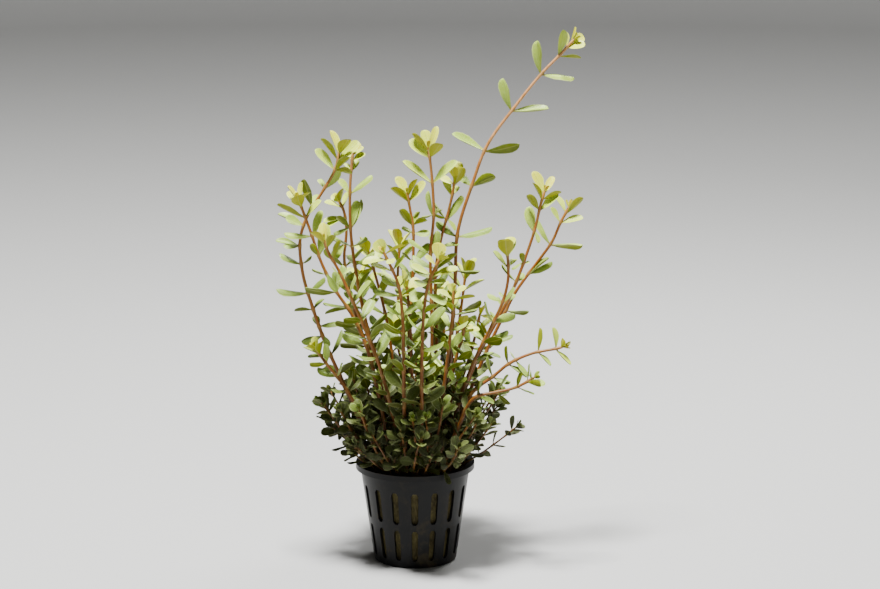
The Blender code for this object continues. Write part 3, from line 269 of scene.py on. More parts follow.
        0: ((0.2, 5.0, -2, 4.2, 0), (3.2, -0.2, -1, 3.2, 0)),
        1: ((6.0, 1.4, 0, 3.2, 0), (-3.5, 3.0, 2, 3.4, 0)),
        2: ((6.6, -1.8, -1, 3.6, 20), (-4.0, 2.0, 2, 3.4, 0))}),
    shoot("left_stub", -2, -12, [(-24, 22), (-33, 37), (-40, 46), (-44, 52)], gap=7.5, blade=(9.5, 4.0),
          phase=55),
    shoot("back_left", 3, -7, [(-14, 30), (-21, 52), (-24, 70), (-25, 84)], gap=9.5, phase=40),
    shoot("back_mid", 4, -1, [(-3, 30), (-6, 52), (-8, 72), (-8, 88), (-7, 99)], gap=10, phase=50),
    shoot("back_right", 3, 6, [(12, 30), (18, 52), (21, 70), (23, 86)], gap=9.5, phase=35),
    shoot("back_far", 4, 5, [(8, 28), (12, 46), (13, 62), (12, 76)], gap=9, phase=60),
    shoot("back_edge", 3, -2.5, [(-4.5, 30), (-7, 46), (-10, 60)], gap=9, phase=30),
]


# The low shoots fan out round the crown by the golden angle; turns holds the places that are taken
lowShoots = {
    "turns": (1, 4, 6, 9, 10, 12, 16, 17, 20, 22, 24, 25, 27, 30), "seed": 700,
    "golden": math.radians(137.508), "reach": (5.0, 17.5), "lean": (6.0, 46.0), "leanCurve": 1.5,
    "strayLean": (-5.0, 7.0), "length": (22.0, 44.0), "shares": (0.3, 0.65, 1.0), "outCurve": 0.85,
    "riseCurve": 1.1, "lift": 0.08, "gap": (9.0, 11.0), "blade": ((8.0, 10.5), (3.8, 4.8)), "bare": 7.0,
}


def unit(vector):
    return vector / np.linalg.norm(vector)


def between(span, share):
    return span[0] + (span[1] - span[0]) * share


def clamp(value):
    return min(1.0, max(0.0, value))


def smoothStep(low, high, value):
    t = clamp((value - low) / (high - low))
    return t * t * (3 - 2 * t)


def outward(turn):
    return np.array([math.cos(turn), math.sin(turn), 0.0])


def smoothPath(points, steps=8):
    # a dense polyline through the points, its tangents weighted by the chords on both sides
    points = np.array(points)
    chords = np.linalg.norm(np.diff(points, axis=0), axis=1)
    slopes = np.diff(points, axis=0) / chords[:, None]
    tangents = [slopes[0]]
    for before, after, near, far in zip(slopes, slopes[1:], chords, chords[1:]):
        tangents.append((before * far + after * near) / (near + far))
    tangents.append(slopes[-1])
    path = [points[0]]
    for i, chord in enumerate(chords):
        for step in range(1, steps + 1):
            t = step / steps
            path.append(
                points[i] * (2 * t**3 - 3 * t**2 + 1) + tangents[i] * chord * (t**3 - 2 * t**2 + t)
                + points[i + 1] * (3 * t**2 - 2 * t**3) + tangents[i + 1] * chord * (t**3 - t**2)
            )
    return np.array(path)


class StemLine:
    # the centre line of a stem, rooted below its route, with a frame carried along it without twisting
    def __init__(self, plan, rooted=growth["rooted"]):
        path = smoothPath(plan["route"])
        self.rooted = rooted
        self.path = np.vstack([path[0] - upward * rooted, path])
        steps = np.diff(self.path, axis=0)
        lengths = np.linalg.norm(steps, axis=1)
        self.along = np.concatenate([[0.0], np.cumsum(lengths)])
        self.length = self.along[-1]
        side = outward(math.radians(plan["phase"]))
        self.tangents, self.sides = [], []
        for tangent in steps / lengths[:, None]:
            side = unit(side - tangent * (side @ tangent))
            self.tangents.append(tangent)
            self.sides.append(side)

    def at(self, distance):
        i = int(np.clip(np.searchsorted(self.along, distance) - 1, 0, len(self.tangents) - 1))
        share = (distance - self.along[i]) / (self.along[i + 1] - self.along[i])
        point = self.path[i] + (self.path[i + 1] - self.path[i]) * share
        return point, self.tangents[i], self.sides[i], np.cross(self.tangents[i], self.sides[i])

    def leafAxis(self, distance, turn, lift):
        # off the stem by the lift, on the side that the turn gives
        _, tangent, side, other = self.at(distance)
        radial = side * math.cos(turn) + other * math.sin(turn)
        return tangent * math.cos(lift) + radial * math.sin(lift)


def archedRoute(rule, foot, out, length, lean, sideways=0.0):
    # a thin stem that leaves the crown at its lean and arches upwards
    route = [foot]
    for share in rule["shares"]:
        across = length * math.sin(lean) * share ** rule["outCurve"]
        rise = length * (math.cos(lean) * share ** rule["riseCurve"] + rule["lift"] * share**2)
        route.append(foot + (out + sideways * share) * across + upward * rise)
    return route


def lowShoot(turn, number):
    rule = lowShoots
    draw = random.Random(rule["seed"] + turn)
    shareOut = math.sqrt(draw.random())
    lean = between(rule["lean"], shareOut ** rule["leanCurve"]) + draw.uniform(*rule["strayLean"])
    length = draw.uniform(*rule["length"])
    out = outward(turn * rule["golden"])
    foot = out * between(rule["reach"], shareOut) + upward * growth["woolTop"]
    return {
        "name": f"shoot_low_{number:02d}", "route": archedRoute(rule, foot, out, length, math.radians(lean)),
        "gap": draw.uniform(*rule["gap"]), "blade": [draw.uniform(*span) for span in rule["blade"]],
        "phase": draw.uniform(0, 90), "gaps": growth["tipGaps"], "leaves": {}, "radii": stems["thinRadii"],
        "bare": rule["bare"],
    }


def leafPairs(plan, line):
    # (order, distance along the stem) of every pair from the tip down
    place, order, pairs = line.length - growth["budLength"], 0, []
    while place > line.rooted + plan["bare"]:
        pairs.append((order, place))
        place -= plan["gaps"][order] if order < len(plan["gaps"]) else plan["gap"]
        order += 1
    return pairs


def rosette(order):
    # the pairs at a tip outgrow the sizes given for them: (longer, wider)
    inIt = order < leafRule["rosettePairs"]
    return (leafRule["rosetteLonger"], leafRule["rosetteWider"]) if inIt else (1.0, 1.0)


def setLeaves(plan, order):
    # a leaf with no twist that lies level is turned: two show their upper face, the third its back
    leaves = []
    longer, wider = rosette(order)
    for i, (across, up, back, width, twist) in enumerate(plan["leaves"][order]):
        if twist == 0 and abs(back) <= leafRule["setLevel"]:
            turn = leafRule["setTurns"][(order + i) % 3]
            twist = math.copysign(turn, across * turn)
        leaves.append({
            "axis": unit(np.array([across, back, up])), "twist": math.radians(twist), "width": width * wider,
            "length": math.hypot(across, up, back) * longer, "bend": leafRule["setBends"][(order + i) % 3],
        })
    return leaves


def ruledLeaves(plan, line, order, place, lowest, draw):
    rule = leafRule
    longer, wider = rosette(order)
    young, pitch, bend = (rule[key][min(order, len(rule[key]) - 1)] for key in ("young", "pitch", "bend"))
    past = max(0.0, order / max(lowest, 1) - rule["matureAge"])
    old = 1.0 - rule["oldLoss"] * past
    length = plan["blade"][0] * longer * young * old
    width = plan["blade"][1] * wider * between((rule["widthHeld"], 1.0), young) * old
    leaves = []
    for halfTurn in (0, 180):
        turn = 90 * (order % 2) + halfTurn + draw.uniform(-rule["strayTurn"], rule["strayTurn"])
        lift = pitch + rule["oldSpread"] * past + draw.uniform(*rule["strayPitch"])
        leaves.append({
            "axis": line.leafAxis(place, math.radians(turn), math.radians(lift)),
            "length": length * draw.uniform(*rule["straySize"]),
            "width": width * draw.uniform(*rule["straySize"]),
            "twist": math.radians(draw.uniform(-rule["strayTwist"], rule["strayTwist"])),
            "bend": bend + draw.uniform(*rule["strayBend"]),
        })
    return leaves


def leafMatrix(tangent, leaf):
    # columns: over the width, along the blade, out of the upper face
    across = unit(np.cross(tangent, leaf["axis"]))
    face = np.cross(leaf["axis"], across)
    cosine, sine = math.cos(leaf["twist"]), math.sin(leaf["twist"])
    turned, facing = across * cosine + face * sine, face * cosine - across * sine
    return Matrix(np.column_stack([-turned, leaf["axis"], facing]).tolist())


def addObject(name, data):
    thing = bpy.data.objects.new(name, data)
    bpy.context.scene.collection.objects.link(thing)
    return thing


def meshOf(name, shape):
    mesh = bpy.data.meshes.new(name)
    shape.to_mesh(mesh)
    shape.free()
    return mesh


def skinRings(shape, rings, isOpen=lambda row, place: False):
    # faces between rings of vertices that lie one over the other
    for row, (lower, upper) in enumerate(zip(rings, rings[1:])):
        for k in range(len(lower)):
            after = (k + 1) % len(lower)
            if not isOpen(row, k):
                shape.faces.new((lower[k], lower[after], upper[after], upper[k]))


def fillInputs(tree, node, inputs):
    # an input that is given a socket is linked, a list of sockets is joined, and any other value is set
    for name, given in inputs.items():
        socket = node.inputs[name]
        for value in given if isinstance(given, list) else [given]:
            if isinstance(value, bpy.types.NodeSocket):
                tree.links.new(value, socket)
            else:
                socket.default_value = (*value, 1.0) if socket.type == "RGBA" else value


def addNode(tree, kind, inputs=None, **settings):
    # inputs by name or by place
    node = tree.nodes.new(kind)
    for name, value in settings.items():
        setattr(node, name, value)
    fillInputs(tree, node, inputs or {})
    return node


def outputOf(tree, output, kind, inputs=None, **settings):
    return addNode(tree, kind, inputs, **settings).outputs[output]


def readAttribute(tree, name, kind="FLOAT"):
    return outputOf(tree, "Attribute", "GeometryNodeInputNamedAttribute", {"Name": name}, data_type=kind)


def newTree(name, inputs):
    # a geometry tree with the given inputs, and the outputs and inputs of its group nodes
    tree = bpy.data.node_groups.new(name, "GeometryNodeTree")
    for label, kind in {"Geometry": "Geometry", **inputs}.items():
        tree.interface.new_socket(label, in_out="INPUT", socket_type="NodeSocket" + kind)
    tree.interface.new_socket("Geometry", in_out="OUTPUT", socket_type="NodeSocketGeometry")
    return tree, addNode(tree, "NodeGroupInput").outputs


def evaluateTree(name, mesh, tree, values):
    # runs a tree on a mesh and keeps what it makes as a plain mesh object
    carrier = addObject(name + "Points", mesh)
    modifier = carrier.modifiers.new("tree", "NODES")
    modifier.node_group = tree
    identifiers = {item.name: item.identifier for item in tree.interface.items_tree if item.in_out == "INPUT"}
    for label, value in values.items():
        modifier[identifiers[label]] = value
    graph = bpy.context.evaluated_depsgraph_get()
    made = bpy.data.meshes.new_from_object(
        carrier.evaluated_get(graph), preserve_all_data_layers=True, depsgraph=graph)
    made.name = name
    bpy.data.objects.remove(carrier)
    return addObject(name, made)


def storeAttribute(mesh, name, kind, values):
    layer = mesh.attributes.new(name, kind, "POINT")
    field = "vector" if kind == "FLOAT_VECTOR" else "value"
    number = {"INT": np.int32, "BOOLEAN": bool}.get(kind, np.float32)
    layer.data.foreach_set(field, np.array(values, dtype=number).ravel())


def newMaterial(name, roughness, specular):
    material = bpy.data.materials.new(name)
    material.use_nodes = True
    tree, shader = material.node_tree, material.node_tree.nodes["Principled BSDF"]
    fillInputs(tree, shader, {"Roughness": roughness, "Specular IOR Level": specular})
    return material, tree, shader


def surfaceAttribute(tree, name, output="Fac"):
    return outputOf(tree, output, "ShaderNodeAttribute", attribute_name=name)


def placeParts(tree, vector):
    return addNode(tree, "ShaderNodeSeparateXYZ", {"Vector": vector}).outputs


def noiseOf(tree, scale, detail=3.0, roughness=0.55, stretch=(1, 1, 1)):
    place = outputOf(tree, "Object", "ShaderNodeTexCoord")
    scaled = outputOf(tree, "Vector", "ShaderNodeMapping", {"Vector": place, "Scale": stretch})
    return outputOf(tree, "Fac", "ShaderNodeTexNoise", {
        "Vector": scaled, "Scale": scale, "Detail": detail, "Roughness": roughness})


def rampOf(tree, factor, stops):
    ramp = addNode(tree, "ShaderNodeValToRGB", {"Fac": factor})
    elements = ramp.color_ramp.elements
    while len(elements) < len(stops):
        elements.new(0.5)
    for element, (position, colour) in zip(elements, stops):
        element.position = position
        element.color = (*colour, 1.0)
    return ramp.outputs["Color"]


def spanOf(tree, value, low, high, start=0.0, end=1.0, smooth=True):
    return outputOf(tree, "Result", "ShaderNodeMapRange", {
        "Value": value, "From Min": low, "From Max": high, "To Min": start, "To Max": end},
        interpolation_type="SMOOTHSTEP" if smooth else "LINEAR")


def mathOf(tree, operation, first, second=0.0):
    return outputOf(tree, "Value", "ShaderNodeMath", {0: first, 1: second}, operation=operation)


def mixColours(tree, factor, first, second):
    # the places are those of the node's factor, its two colours and its mixed colour
    return outputOf(tree, 2, "ShaderNodeMix", {0: factor, 6: first, 7: second}, data_type="RGBA")


def finishWith(tree, shader, look, colour, height, rough=None):
    # the colour, the fine relief and the gloss of a finish
    bump = outputOf(tree, "Normal", "ShaderNodeBump", {
        "Height": height, "Strength": look["relief"], "Distance": look["reliefDepth"]})
    fillInputs(tree, shader, {"Base Color": colour, "Normal": bump})
    if rough:
        fillInputs(tree, shader, {"Roughness": rough})


leafLook = {
    # the darkest stops, from 0.74 on, are reached only through the painted shade low in the crown
    "upper": ((0.0, (0.52, 0.27, 0.003)), (0.05, (0.62, 0.60, 0.006)), (0.17, (0.56, 0.66, 0.03)),
              (0.32, (0.37, 0.52, 0.045)), (0.52, (0.22, 0.34, 0.028)), (0.74, (0.08, 0.105, 0.01)),
              (1.0, (0.018, 0.017, 0.003))),
    "under": ((0.0, (0.42, 0.20, 0.001)), (0.06, (0.44, 0.40, 0.001)), (0.2, (0.27, 0.29, 0.001)),
              (0.45, (0.12, 0.155, 0.001)), (0.74, (0.044, 0.05, 0.002)), (1.0, (0.012, 0.011, 0.002))),
    # meal and margin: pale colours on the upper face, part the leaf's own frosting and pale rim, part painted
    # highlight
    "meal": (0.72, 0.82, 0.36), "margin": (0.82, 0.90, 0.42), "petiole": (0.34, 0.25, 0.05),
    "vein": (0.12, 0.22, 0.04), "midrib": (0.16, 0.27, 0.06), "underMidrib": (0.46, 0.46, 0.12),
    "through": (0.55, 0.62, 0.02), "glow": 0.16,
    "patchScale": 260, "mealScale": 4200, "glossScale": 900, "veins": 11.0, "veinSlant": 2.4,
    "mealAndHighlightAmount": (0.6, 0.14), "paleRimAndHighlightAmount": 0.45, "gloss": (0.3, 0.44), "agedGloss": 0.35,
    "mealRelief": 0.35, "veinRelief": -0.5, "midribRelief": -0.7, "relief": 0.35, "reliefDepth": 0.00012,
}


def leafMaterial():
    look = leafLook
    material, tree, shader = newMaterial("leafBlade", 0.5, 0.3)
    parts = placeParts(tree, surfaceAttribute(tree, "bladePlace", "Vector"))
    across, along, upper = parts["X"], parts["Y"], parts["Z"]
    age, tone = surfaceAttribute(tree, "leafAge"), surfaceAttribute(tree, "leafTone")
    fromMidrib = mathOf(tree, "ABSOLUTE", across)
    # colour follows age, which also carries painted shade low in the crown, shifted a little by leaf, by
    # patch and towards the foot
    shifted = mathOf(tree, "ADD", age, spanOf(tree, tone, 0, 1, -0.02, 0.08, False))
    patch = spanOf(tree, noiseOf(tree, look["patchScale"]), 0.3, 0.7, -0.035, 0.035, False)
    shifted = mathOf(tree, "ADD", shifted, patch)
    shifted = mathOf(tree, "ADD", shifted, spanOf(tree, along, 0.0, 0.6, 0.05, 0.0))
    topSide = rampOf(tree, shifted, look["upper"])
    underSide = rampOf(tree, shifted, look["under"])
    # the mealy speckle on the upper face is partly real frosting and partly painted highlight, strongest on
    # young leaves high in the crown
    speckle = spanOf(tree, noiseOf(tree, look["mealScale"], 2, 0.7), 0.5, 0.66)
    bloomAndHighlight = mathOf(tree, "MULTIPLY", speckle, spanOf(tree, age, 0.12, 0.9, *look["mealAndHighlightAmount"]))
    topSide = mixColours(tree, bloomAndHighlight, topSide, look["meal"])
    # side veins run forward from the midrib
    forward = mathOf(tree, "MULTIPLY", along, look["veins"])
    slant = mathOf(tree, "SUBTRACT", forward, mathOf(tree, "MULTIPLY", fromMidrib, look["veinSlant"]))
    veinLine = spanOf(tree, mathOf(tree, "PINGPONG", slant, 0.5), 0.0, 0.12, 1.0, 0.0)
    topSide = mixColours(tree, mathOf(tree, "MULTIPLY", veinLine, 0.16), topSide, look["vein"])
    midrib = spanOf(tree, fromMidrib, 0.03, 0.11, 1.0, 0.0)
    topSide = mixColours(tree, mathOf(tree, "MULTIPLY", midrib, 0.3), topSide, look["midrib"])
    underSide = mixColours(tree, mathOf(tree, "MULTIPLY", midrib, 0.5), underSide, look["underMidrib"])
    # painted highlight in part: a pale rim along the margin of the upper face, partly the leaf's own pale
    # edge, fading on old and low leaves
    edge = spanOf(tree, fromMidrib, 0.84, 0.98, 0.0, look["paleRimAndHighlightAmount"])
    edge = mathOf(tree, "MULTIPLY", edge, spanOf(tree, age, 0.5, 1.0, 1.0, 0.25))
    topSide = mixColours(tree, edge, topSide, look["margin"])
    colour = mixColours(tree, spanOf(tree, upper, 0.35, 0.6), underSide, topSide)
    colour = mixColours(tree, spanOf(tree, along, 0.02, 0.16, 0.6, 0.0), colour, look["petiole"])
    rough = spanOf(tree, noiseOf(tree, look["glossScale"]), 0.3, 0.7, *look["gloss"], False)
    rough = mathOf(tree, "ADD", rough, spanOf(tree, age, 0.5, 0.95, 0.0, look["agedGloss"]))
    relief = mathOf(tree, "ADD", mathOf(tree, "MULTIPLY", speckle, look["mealRelief"]),
                    mathOf(tree, "MULTIPLY", veinLine, look["veinRelief"]))
    relief = mathOf(tree, "ADD", relief, mathOf(tree, "MULTIPLY", midrib, look["midribRelief"]))
    finishWith(tree, shader, look, colour, relief, rough)
    # light comes through the blade in a warm yellow-green
    glow = outputOf(tree, "BSDF", "ShaderNodeBsdfTranslucent", {
        "Color": mixColours(tree, 0.6, colour, look["through"])})
    both = outputOf(tree, "Shader", "ShaderNodeMixShader", {
        0: look["glow"], 1: shader.outputs["BSDF"], 2: glow})
    output = next(node for node in tree.nodes if node.type == "OUTPUT_MATERIAL")
    fillInputs(tree, output, {"Surface": both})
    return material


stemLook = {
    "stops": ((0.0, (0.44, 0.21, 0.08)), (0.12, (0.31, 0.12, 0.022)), (0.35, (0.23, 0.072, 0.005)),
              (0.65, (0.19, 0.06, 0.005)), (0.88, (0.11, 0.04, 0.005)), (1.0, (0.04, 0.018, 0.003))),
    "joint": (0.32, 0.20, 0.05), "jointAmount": (0.5, 0.15), "green": (0.15, 0.12, 0.02), "greenAmount": 0.35,
    "greenScale": 220, "streakScale": 900, "streakStretch": (1, 1, 0.16), "streakShift": 0.12,
    "gloss": (0.36, 0.56), "relief": 0.3, "reliefDepth": 0.0002,
}


def stemMaterial():
    look = stemLook
    material, tree, shader = newMaterial("stemBark", 0.45, 0.3)
    age, joint = surfaceAttribute(tree, "stemAge"), surfaceAttribute(tree, "stemJoint")
    streak = noiseOf(tree, look["streakScale"], 4, 0.6, look["streakStretch"])
    shift = spanOf(tree, streak, 0.3, 0.7, -look["streakShift"], look["streakShift"], False)
    colour = rampOf(tree, mathOf(tree, "ADD", age, shift), look["stops"])
    pale = mathOf(tree, "MULTIPLY", joint, spanOf(tree, age, 0.5, 1.0, *look["jointAmount"]))
    colour = mixColours(tree, pale, colour, look["joint"])
    green = spanOf(tree, noiseOf(tree, look["greenScale"], 2), 0.52, 0.7, 0.0, look["greenAmount"])
    colour = mixColours(tree, green, colour, look["green"])
    finishWith(tree, shader, look, colour, streak, spanOf(tree, streak, 0.3, 0.7, *look["gloss"], False))
    return material


potLook = {
    "black": (0.003, 0.003, 0.0033), "worn": (0.006, 0.006, 0.006), "silt": (0.055, 0.042, 0.02),
    "mottleScale": 60, "grainScale": 2600, "siltScale": 150, "siltHeight": 0.045, "siltAmount": (0.5, 0.12),
    "gloss": (0.3, 0.46), "siltGloss": 0.5, "relief": 0.12, "reliefDepth": 0.0001,
}


def potMaterial():
    look = potLook
    material, tree, shader = newMaterial("blackPlastic", 0.45, 0.14)
    mottle = noiseOf(tree, look["mottleScale"], 4)
    grain = noiseOf(tree, look["grainScale"], 2)
    colour = mixColours(tree, spanOf(tree, mottle, 0.35, 0.7), look["black"], look["worn"])
    # damp silt dries as a faint brown film on the lower wall
    height = placeParts(tree, outputOf(tree, "Object", "ShaderNodeTexCoord"))["Z"]
    silt = mathOf(tree, "MULTIPLY", spanOf(tree, noiseOf(tree, look["siltScale"], 5, 0.65), 0.5, 0.72),
                  spanOf(tree, height, 0.0, look["siltHeight"], *look["siltAmount"]))
    colour = mixColours(tree, silt, colour, look["silt"])
    rough = mathOf(tree, "ADD", spanOf(tree, mottle, 0.3, 0.7, *look["gloss"], False),
                   mathOf(tree, "MULTIPLY", silt, look["siltGloss"]))
    finishWith(tree, shader, look, colour, grain, rough)
    return material


woolLook = {
    "stops": ((0.3, (0.018, 0.014, 0.006)), (0.5, (0.05, 0.04, 0.015)), (0.7, (0.10, 0.085, 0.03))),
    "thread": (0.14, 0.12, 0.055), "threadAmount": 0.5, "dampScale": 110, "threadScale": 1400,
    "threadStretch": (1, 1, 0.3), "relief": 0.7, "reliefDepth": 0.0005,
}


def woolMaterial():
    look = woolLook
    material, tree, shader = newMaterial("mineralWool", 0.92, 0.2)
    colour = rampOf(tree, noiseOf(tree, look["dampScale"], 5, 0.6), look["stops"])
    threads = noiseOf(tree, look["threadScale"], 4, 0.7, look["threadStretch"])
    pale = spanOf(tree, threads, 0.45, 0.7, 0.0, look["threadAmount"])
    finishWith(tree, shader, look, mixColours(tree, pale, colour, look["thread"]), threads)
    return material


rootLook = {
    "stops": ((0.3, (0.03, 0.016, 0.005)), (0.5, (0.13, 0.058, 0.015)), (0.72, (0.28, 0.16, 0.06))),
    "scale": 240,
}


def rootMaterial():
    material, tree, shader = newMaterial("fineRoot", 0.7, 0.3)
    colour = rampOf(tree, noiseOf(tree, rootLook["scale"]), rootLook["stops"])
    fillInputs(tree, shader, {"Base Color": colour})
    return material


leafFinish, stemFinish = leafMaterial(), stemMaterial()
potFinish, woolFinish, rootFinish = potMaterial(), woolMaterial(), rootMaterial()
print("materials ready")


# Leaf shapes, in shares of a leaf's width and length; bend drops the tip, cup lifts the margins
leafShape = {
    "rows": (0.0, 0.08, 0.2, 0.36, 0.55, 0.74, 0.88, 0.965), "columns": (-1.0, -0.5, 0.0, 0.5, 1.0),
    "smallRows": (0.0, 0.22, 0.5, 0.78, 0.94), "smallColumns": (-1.0, 0.0, 1.0),
    "petiole": 0.17, "widest": 0.6, "footCurve": 1.2, "tipCurve": 2.6,
    "thickness": 0.055, "thinEdge": 0.7, "midrib": 0.012, "midribWidth": 0.2, "midribTop": 0.4,
    "ripples": (9, 2.5), "bends": (-0.2, -0.1, 0.0, 0.08, 0.17, 0.28, 0.42),
    "cups": ((0.5, -0.24), (0.42, -0.32), (0.46, -0.28), (0.4, -0.36), (0.5, -0.3), (0.3, -0.4), (0.3, -0.4)),
    "sweeps": (0.035, -0.05), "waves": (0.012, 0.02), "spoonAge": 0.25, "spoonShare": 0.35,
}


def fullBody(share):
    # thins a body towards both its ends
    return 0.5 + 0.5 * math.sin(math.pi * (0.15 + 0.7 * share))


def bladeHalf(along):
    # half of the blade's width at a share of its length: a narrow foot, long sides and a blunt round tip
    foot, widest = leafShape["petiole"], leafShape["widest"]
    if along < widest:
        swell = math.sin(math.pi / 2 * along / widest) ** leafShape["footCurve"]
        return 0.5 * (foot + (1 - foot) * swell)
    return 0.5 * math.sqrt(max(0.0, 1 - ((along - widest) / (1 - widest)) ** leafShape["tipCurve"]))


def bladePoint(along, across, bend, cup, sweep, wave):
    half = bladeHalf(along)
    lengthwise, crosswise = leafShape["ripples"]
    ripple = wave * math.sin(lengthwise * along + crosswise * across) * across**2 * min(1.0, 2 * along)
    lift = cup * (across**2) * half * 0.5 - bend * along**2 + ripple
    return Vector((across * half + sweep * math.sin(math.pi * along), along, lift))


def leafTemplate(name, rows, columns, bend, cup, sweep, wave):
    shape = bmesh.new()
    place = shape.verts.layers.float_vector.new("bladePlace")

    def addVertex(along, across, upper):
        vertex = shape.verts.new(bladePoint(along, across, bend, cup, sweep, wave))
        ridge = leafShape["midrib"] * math.exp(-(across / leafShape["midribWidth"]) ** 2) * (1 - along)
        body = leafShape["thickness"] * (1 - leafShape["thinEdge"] * across**2) * fullBody(along)
        vertex.co.z += {1: body / 2 - leafShape["midribTop"] * ridge, 0: -body / 2 - ridge, 0.5: 0.0}[upper]
        vertex[place] = (across, along, upper)
        return vertex

    rims = [(addVertex(s, -1.0, 0.5), addVertex(s, 1.0, 0.5)) for s in rows]
    tip = addVertex(1.0, 0.0, 0.5)
    for upper in (1, 0):
        grid = [[left] + [addVertex(s, u, upper) for u in columns[1:-1]] + [right]
                for s, (left, right) in zip(rows, rims)]
        faces = [(low[i], low[i + 1], high[i + 1], high[i])
                 for low, high in zip(grid, grid[1:]) for i in range(len(columns) - 1)]
        faces += [(grid[-1][i], grid[-1][i + 1], tip) for i in range(len(columns) - 1)]
        for face in faces:
            shape.faces.new(face if upper else tuple(reversed(face))).smooth = True
        if upper:
            foot = grid[0]
        else:
            shape.faces.new(tuple(reversed(foot)) + tuple(grid[0][1:-1]))
    for edge in shape.edges:
        edge.smooth = not all(vertex[place].z == 0.5 for vertex in edge.verts)
    return bpy.data.objects.new(name, meshOf(name, shape))


def leafTemplates(name, rows, columns):
    # one collection of leaf shapes, in the order of their names
    shapes = bpy.data.collections.new(name)
    for i, (bend, cups) in enumerate(zip(leafShape["bends"], leafShape["cups"])):
        for side, form in enumerate(zip(cups, leafShape["sweeps"], leafShape["waves"])):
            shapes.objects.link(leafTemplate(f"{name}{2 * i + side:02d}", rows, columns, bend, *form))
    return shapes


def growthTree():
    # a line of points becomes a round stem, and each loose point that is marked becomes a leaf
    tree, given = newTree("growShoot", {"Leaf Shapes": "Collection", "Stem Sides": "Int",
                                        "Stem Finish": "Material", "Leaf Finish": "Material"})
    line = outputOf(tree, "Curve", "GeometryNodeMeshToCurve", {"Mesh": given["Geometry"]})
    ring = outputOf(tree, "Curve", "GeometryNodeCurvePrimitiveCircle", {
        "Resolution": given["Stem Sides"], "Radius": 1.0})
    tube = outputOf(tree, "Mesh", "GeometryNodeCurveToMesh", {
        "Curve": line, "Profile Curve": ring, "Scale": readAttribute(tree, "stemRadius"), "Fill Caps": True})
    smooth = outputOf(tree, "Geometry", "GeometryNodeSetShadeSmooth", {"Geometry": tube})
    bark = outputOf(tree, "Geometry", "GeometryNodeSetMaterial", {
        "Geometry": smooth, "Material": given["Stem Finish"]})
    shapes = outputOf(tree, "Instances", "GeometryNodeCollectionInfo", {
        "Collection": given["Leaf Shapes"], "Separate Children": True, "Reset Children": True})
    turn = outputOf(tree, "Rotation", "FunctionNodeEulerToRotation", {
        "Euler": readAttribute(tree, "leafTurn", "FLOAT_VECTOR")})
    leaves = outputOf(tree, "Instances", "GeometryNodeInstanceOnPoints", {
        "Points": given["Geometry"], "Selection": readAttribute(tree, "isLeaf", "BOOLEAN"),
        "Instance": shapes, "Pick Instance": True, "Instance Index": readAttribute(tree, "leafKind", "INT"),
        "Rotation": turn, "Scale": readAttribute(tree, "leafSize", "FLOAT_VECTOR")})
    real = outputOf(tree, "Geometry", "GeometryNodeRealizeInstances", {"Geometry": leaves})
    green = outputOf(tree, "Geometry", "GeometryNodeSetMaterial", {
        "Geometry": real, "Material": given["Leaf Finish"]})
    both = outputOf(tree, "Geometry", "GeometryNodeJoinGeometry", {"Geometry": [bark, green]})
    addNode(tree, "NodeGroupOutput", {"Geometry": both})
    return tree


class Growth:
    # the points of one or more shoots: stems as lines, and a loose point at the root of each leaf
    fields = {"stemRadius": "FLOAT", "stemAge": "FLOAT", "stemJoint": "FLOAT", "isLeaf": "BOOLEAN",
              "leafTurn": "FLOAT_VECTOR", "leafSize": "FLOAT_VECTOR", "leafKind": "INT", "leafAge": "FLOAT",
              "leafTone": "FLOAT"}

    def __init__(self):
        self.points, self.edges = [], []
        self.values = {name: [] for name in self.fields}

    def addPoint(self, point, **values):
        self.points.append([float(c) * mm for c in point])
        for name, kind in self.fields.items():
            self.values[name].append(values.get(name, (0.0, 0.0, 0.0) if kind == "FLOAT_VECTOR" else 0))

    def addLine(self, points, radii, ages, joints):
        start = len(self.points)
        for point, radius, age, joint in zip(points, radii, ages, joints):
            self.addPoint(point, stemRadius=radius * mm, stemAge=age, stemJoint=joint)
        self.edges += [(i, i + 1) for i in range(start, len(self.points) - 1)]

    def addLeaf(self, root, tangent, leaf, age, tone):
        matrix = leafMatrix(tangent, leaf)
        kind = min(range(len(leafShape["bends"])), key=lambda i: abs(leafShape["bends"][i] - leaf["bend"]))
        self.addPoint(root, isLeaf=True, leafTurn=tuple(matrix.to_euler("XYZ")),
                      leafSize=(leaf["width"] * mm, leaf["length"] * mm, leaf["length"] * mm),
                      leafKind=2 * kind + (age > leafShape["spoonAge"] and tone > leafShape["spoonShare"]),
                      leafAge=age, leafTone=tone)

    def piece(self, name, tree, shapes, sides=stems["sides"], stemFinish=stemFinish):
        mesh = bpy.data.meshes.new(name + "Points")
        mesh.from_pydata(self.points, self.edges, [])
        for field, kind in self.fields.items():
            storeAttribute(mesh, field, kind, self.values[field])
        return evaluateTree(name, mesh, tree, {
            "Leaf Shapes": shapes, "Stem Sides": sides, "Stem Finish": stemFinish, "Leaf Finish": leafFinish})


# How colour ages: the youngest pairs by order, then a step per pair; darker towards the pot is painted shade,
# laid over the age
ageingAndShade = {"young": (0.07, 0.13, 0.21, 0.30), "start": 0.37, "step": 0.04, "most": 0.55, "lowPaintedShade": 0.92,
          "darkBelow": 8.0, "lightAbove": 62.0}


# painted shade: a leaf low in the crown, near the pot, is pushed towards the ramp's darkest colours
def withPaintedShade(age, height):
    low = 1 - smoothStep(ageingAndShade["darkBelow"], ageingAndShade["lightAbove"], height)
    return age + (1 - age) * low * ageingAndShade["lowPaintedShade"]


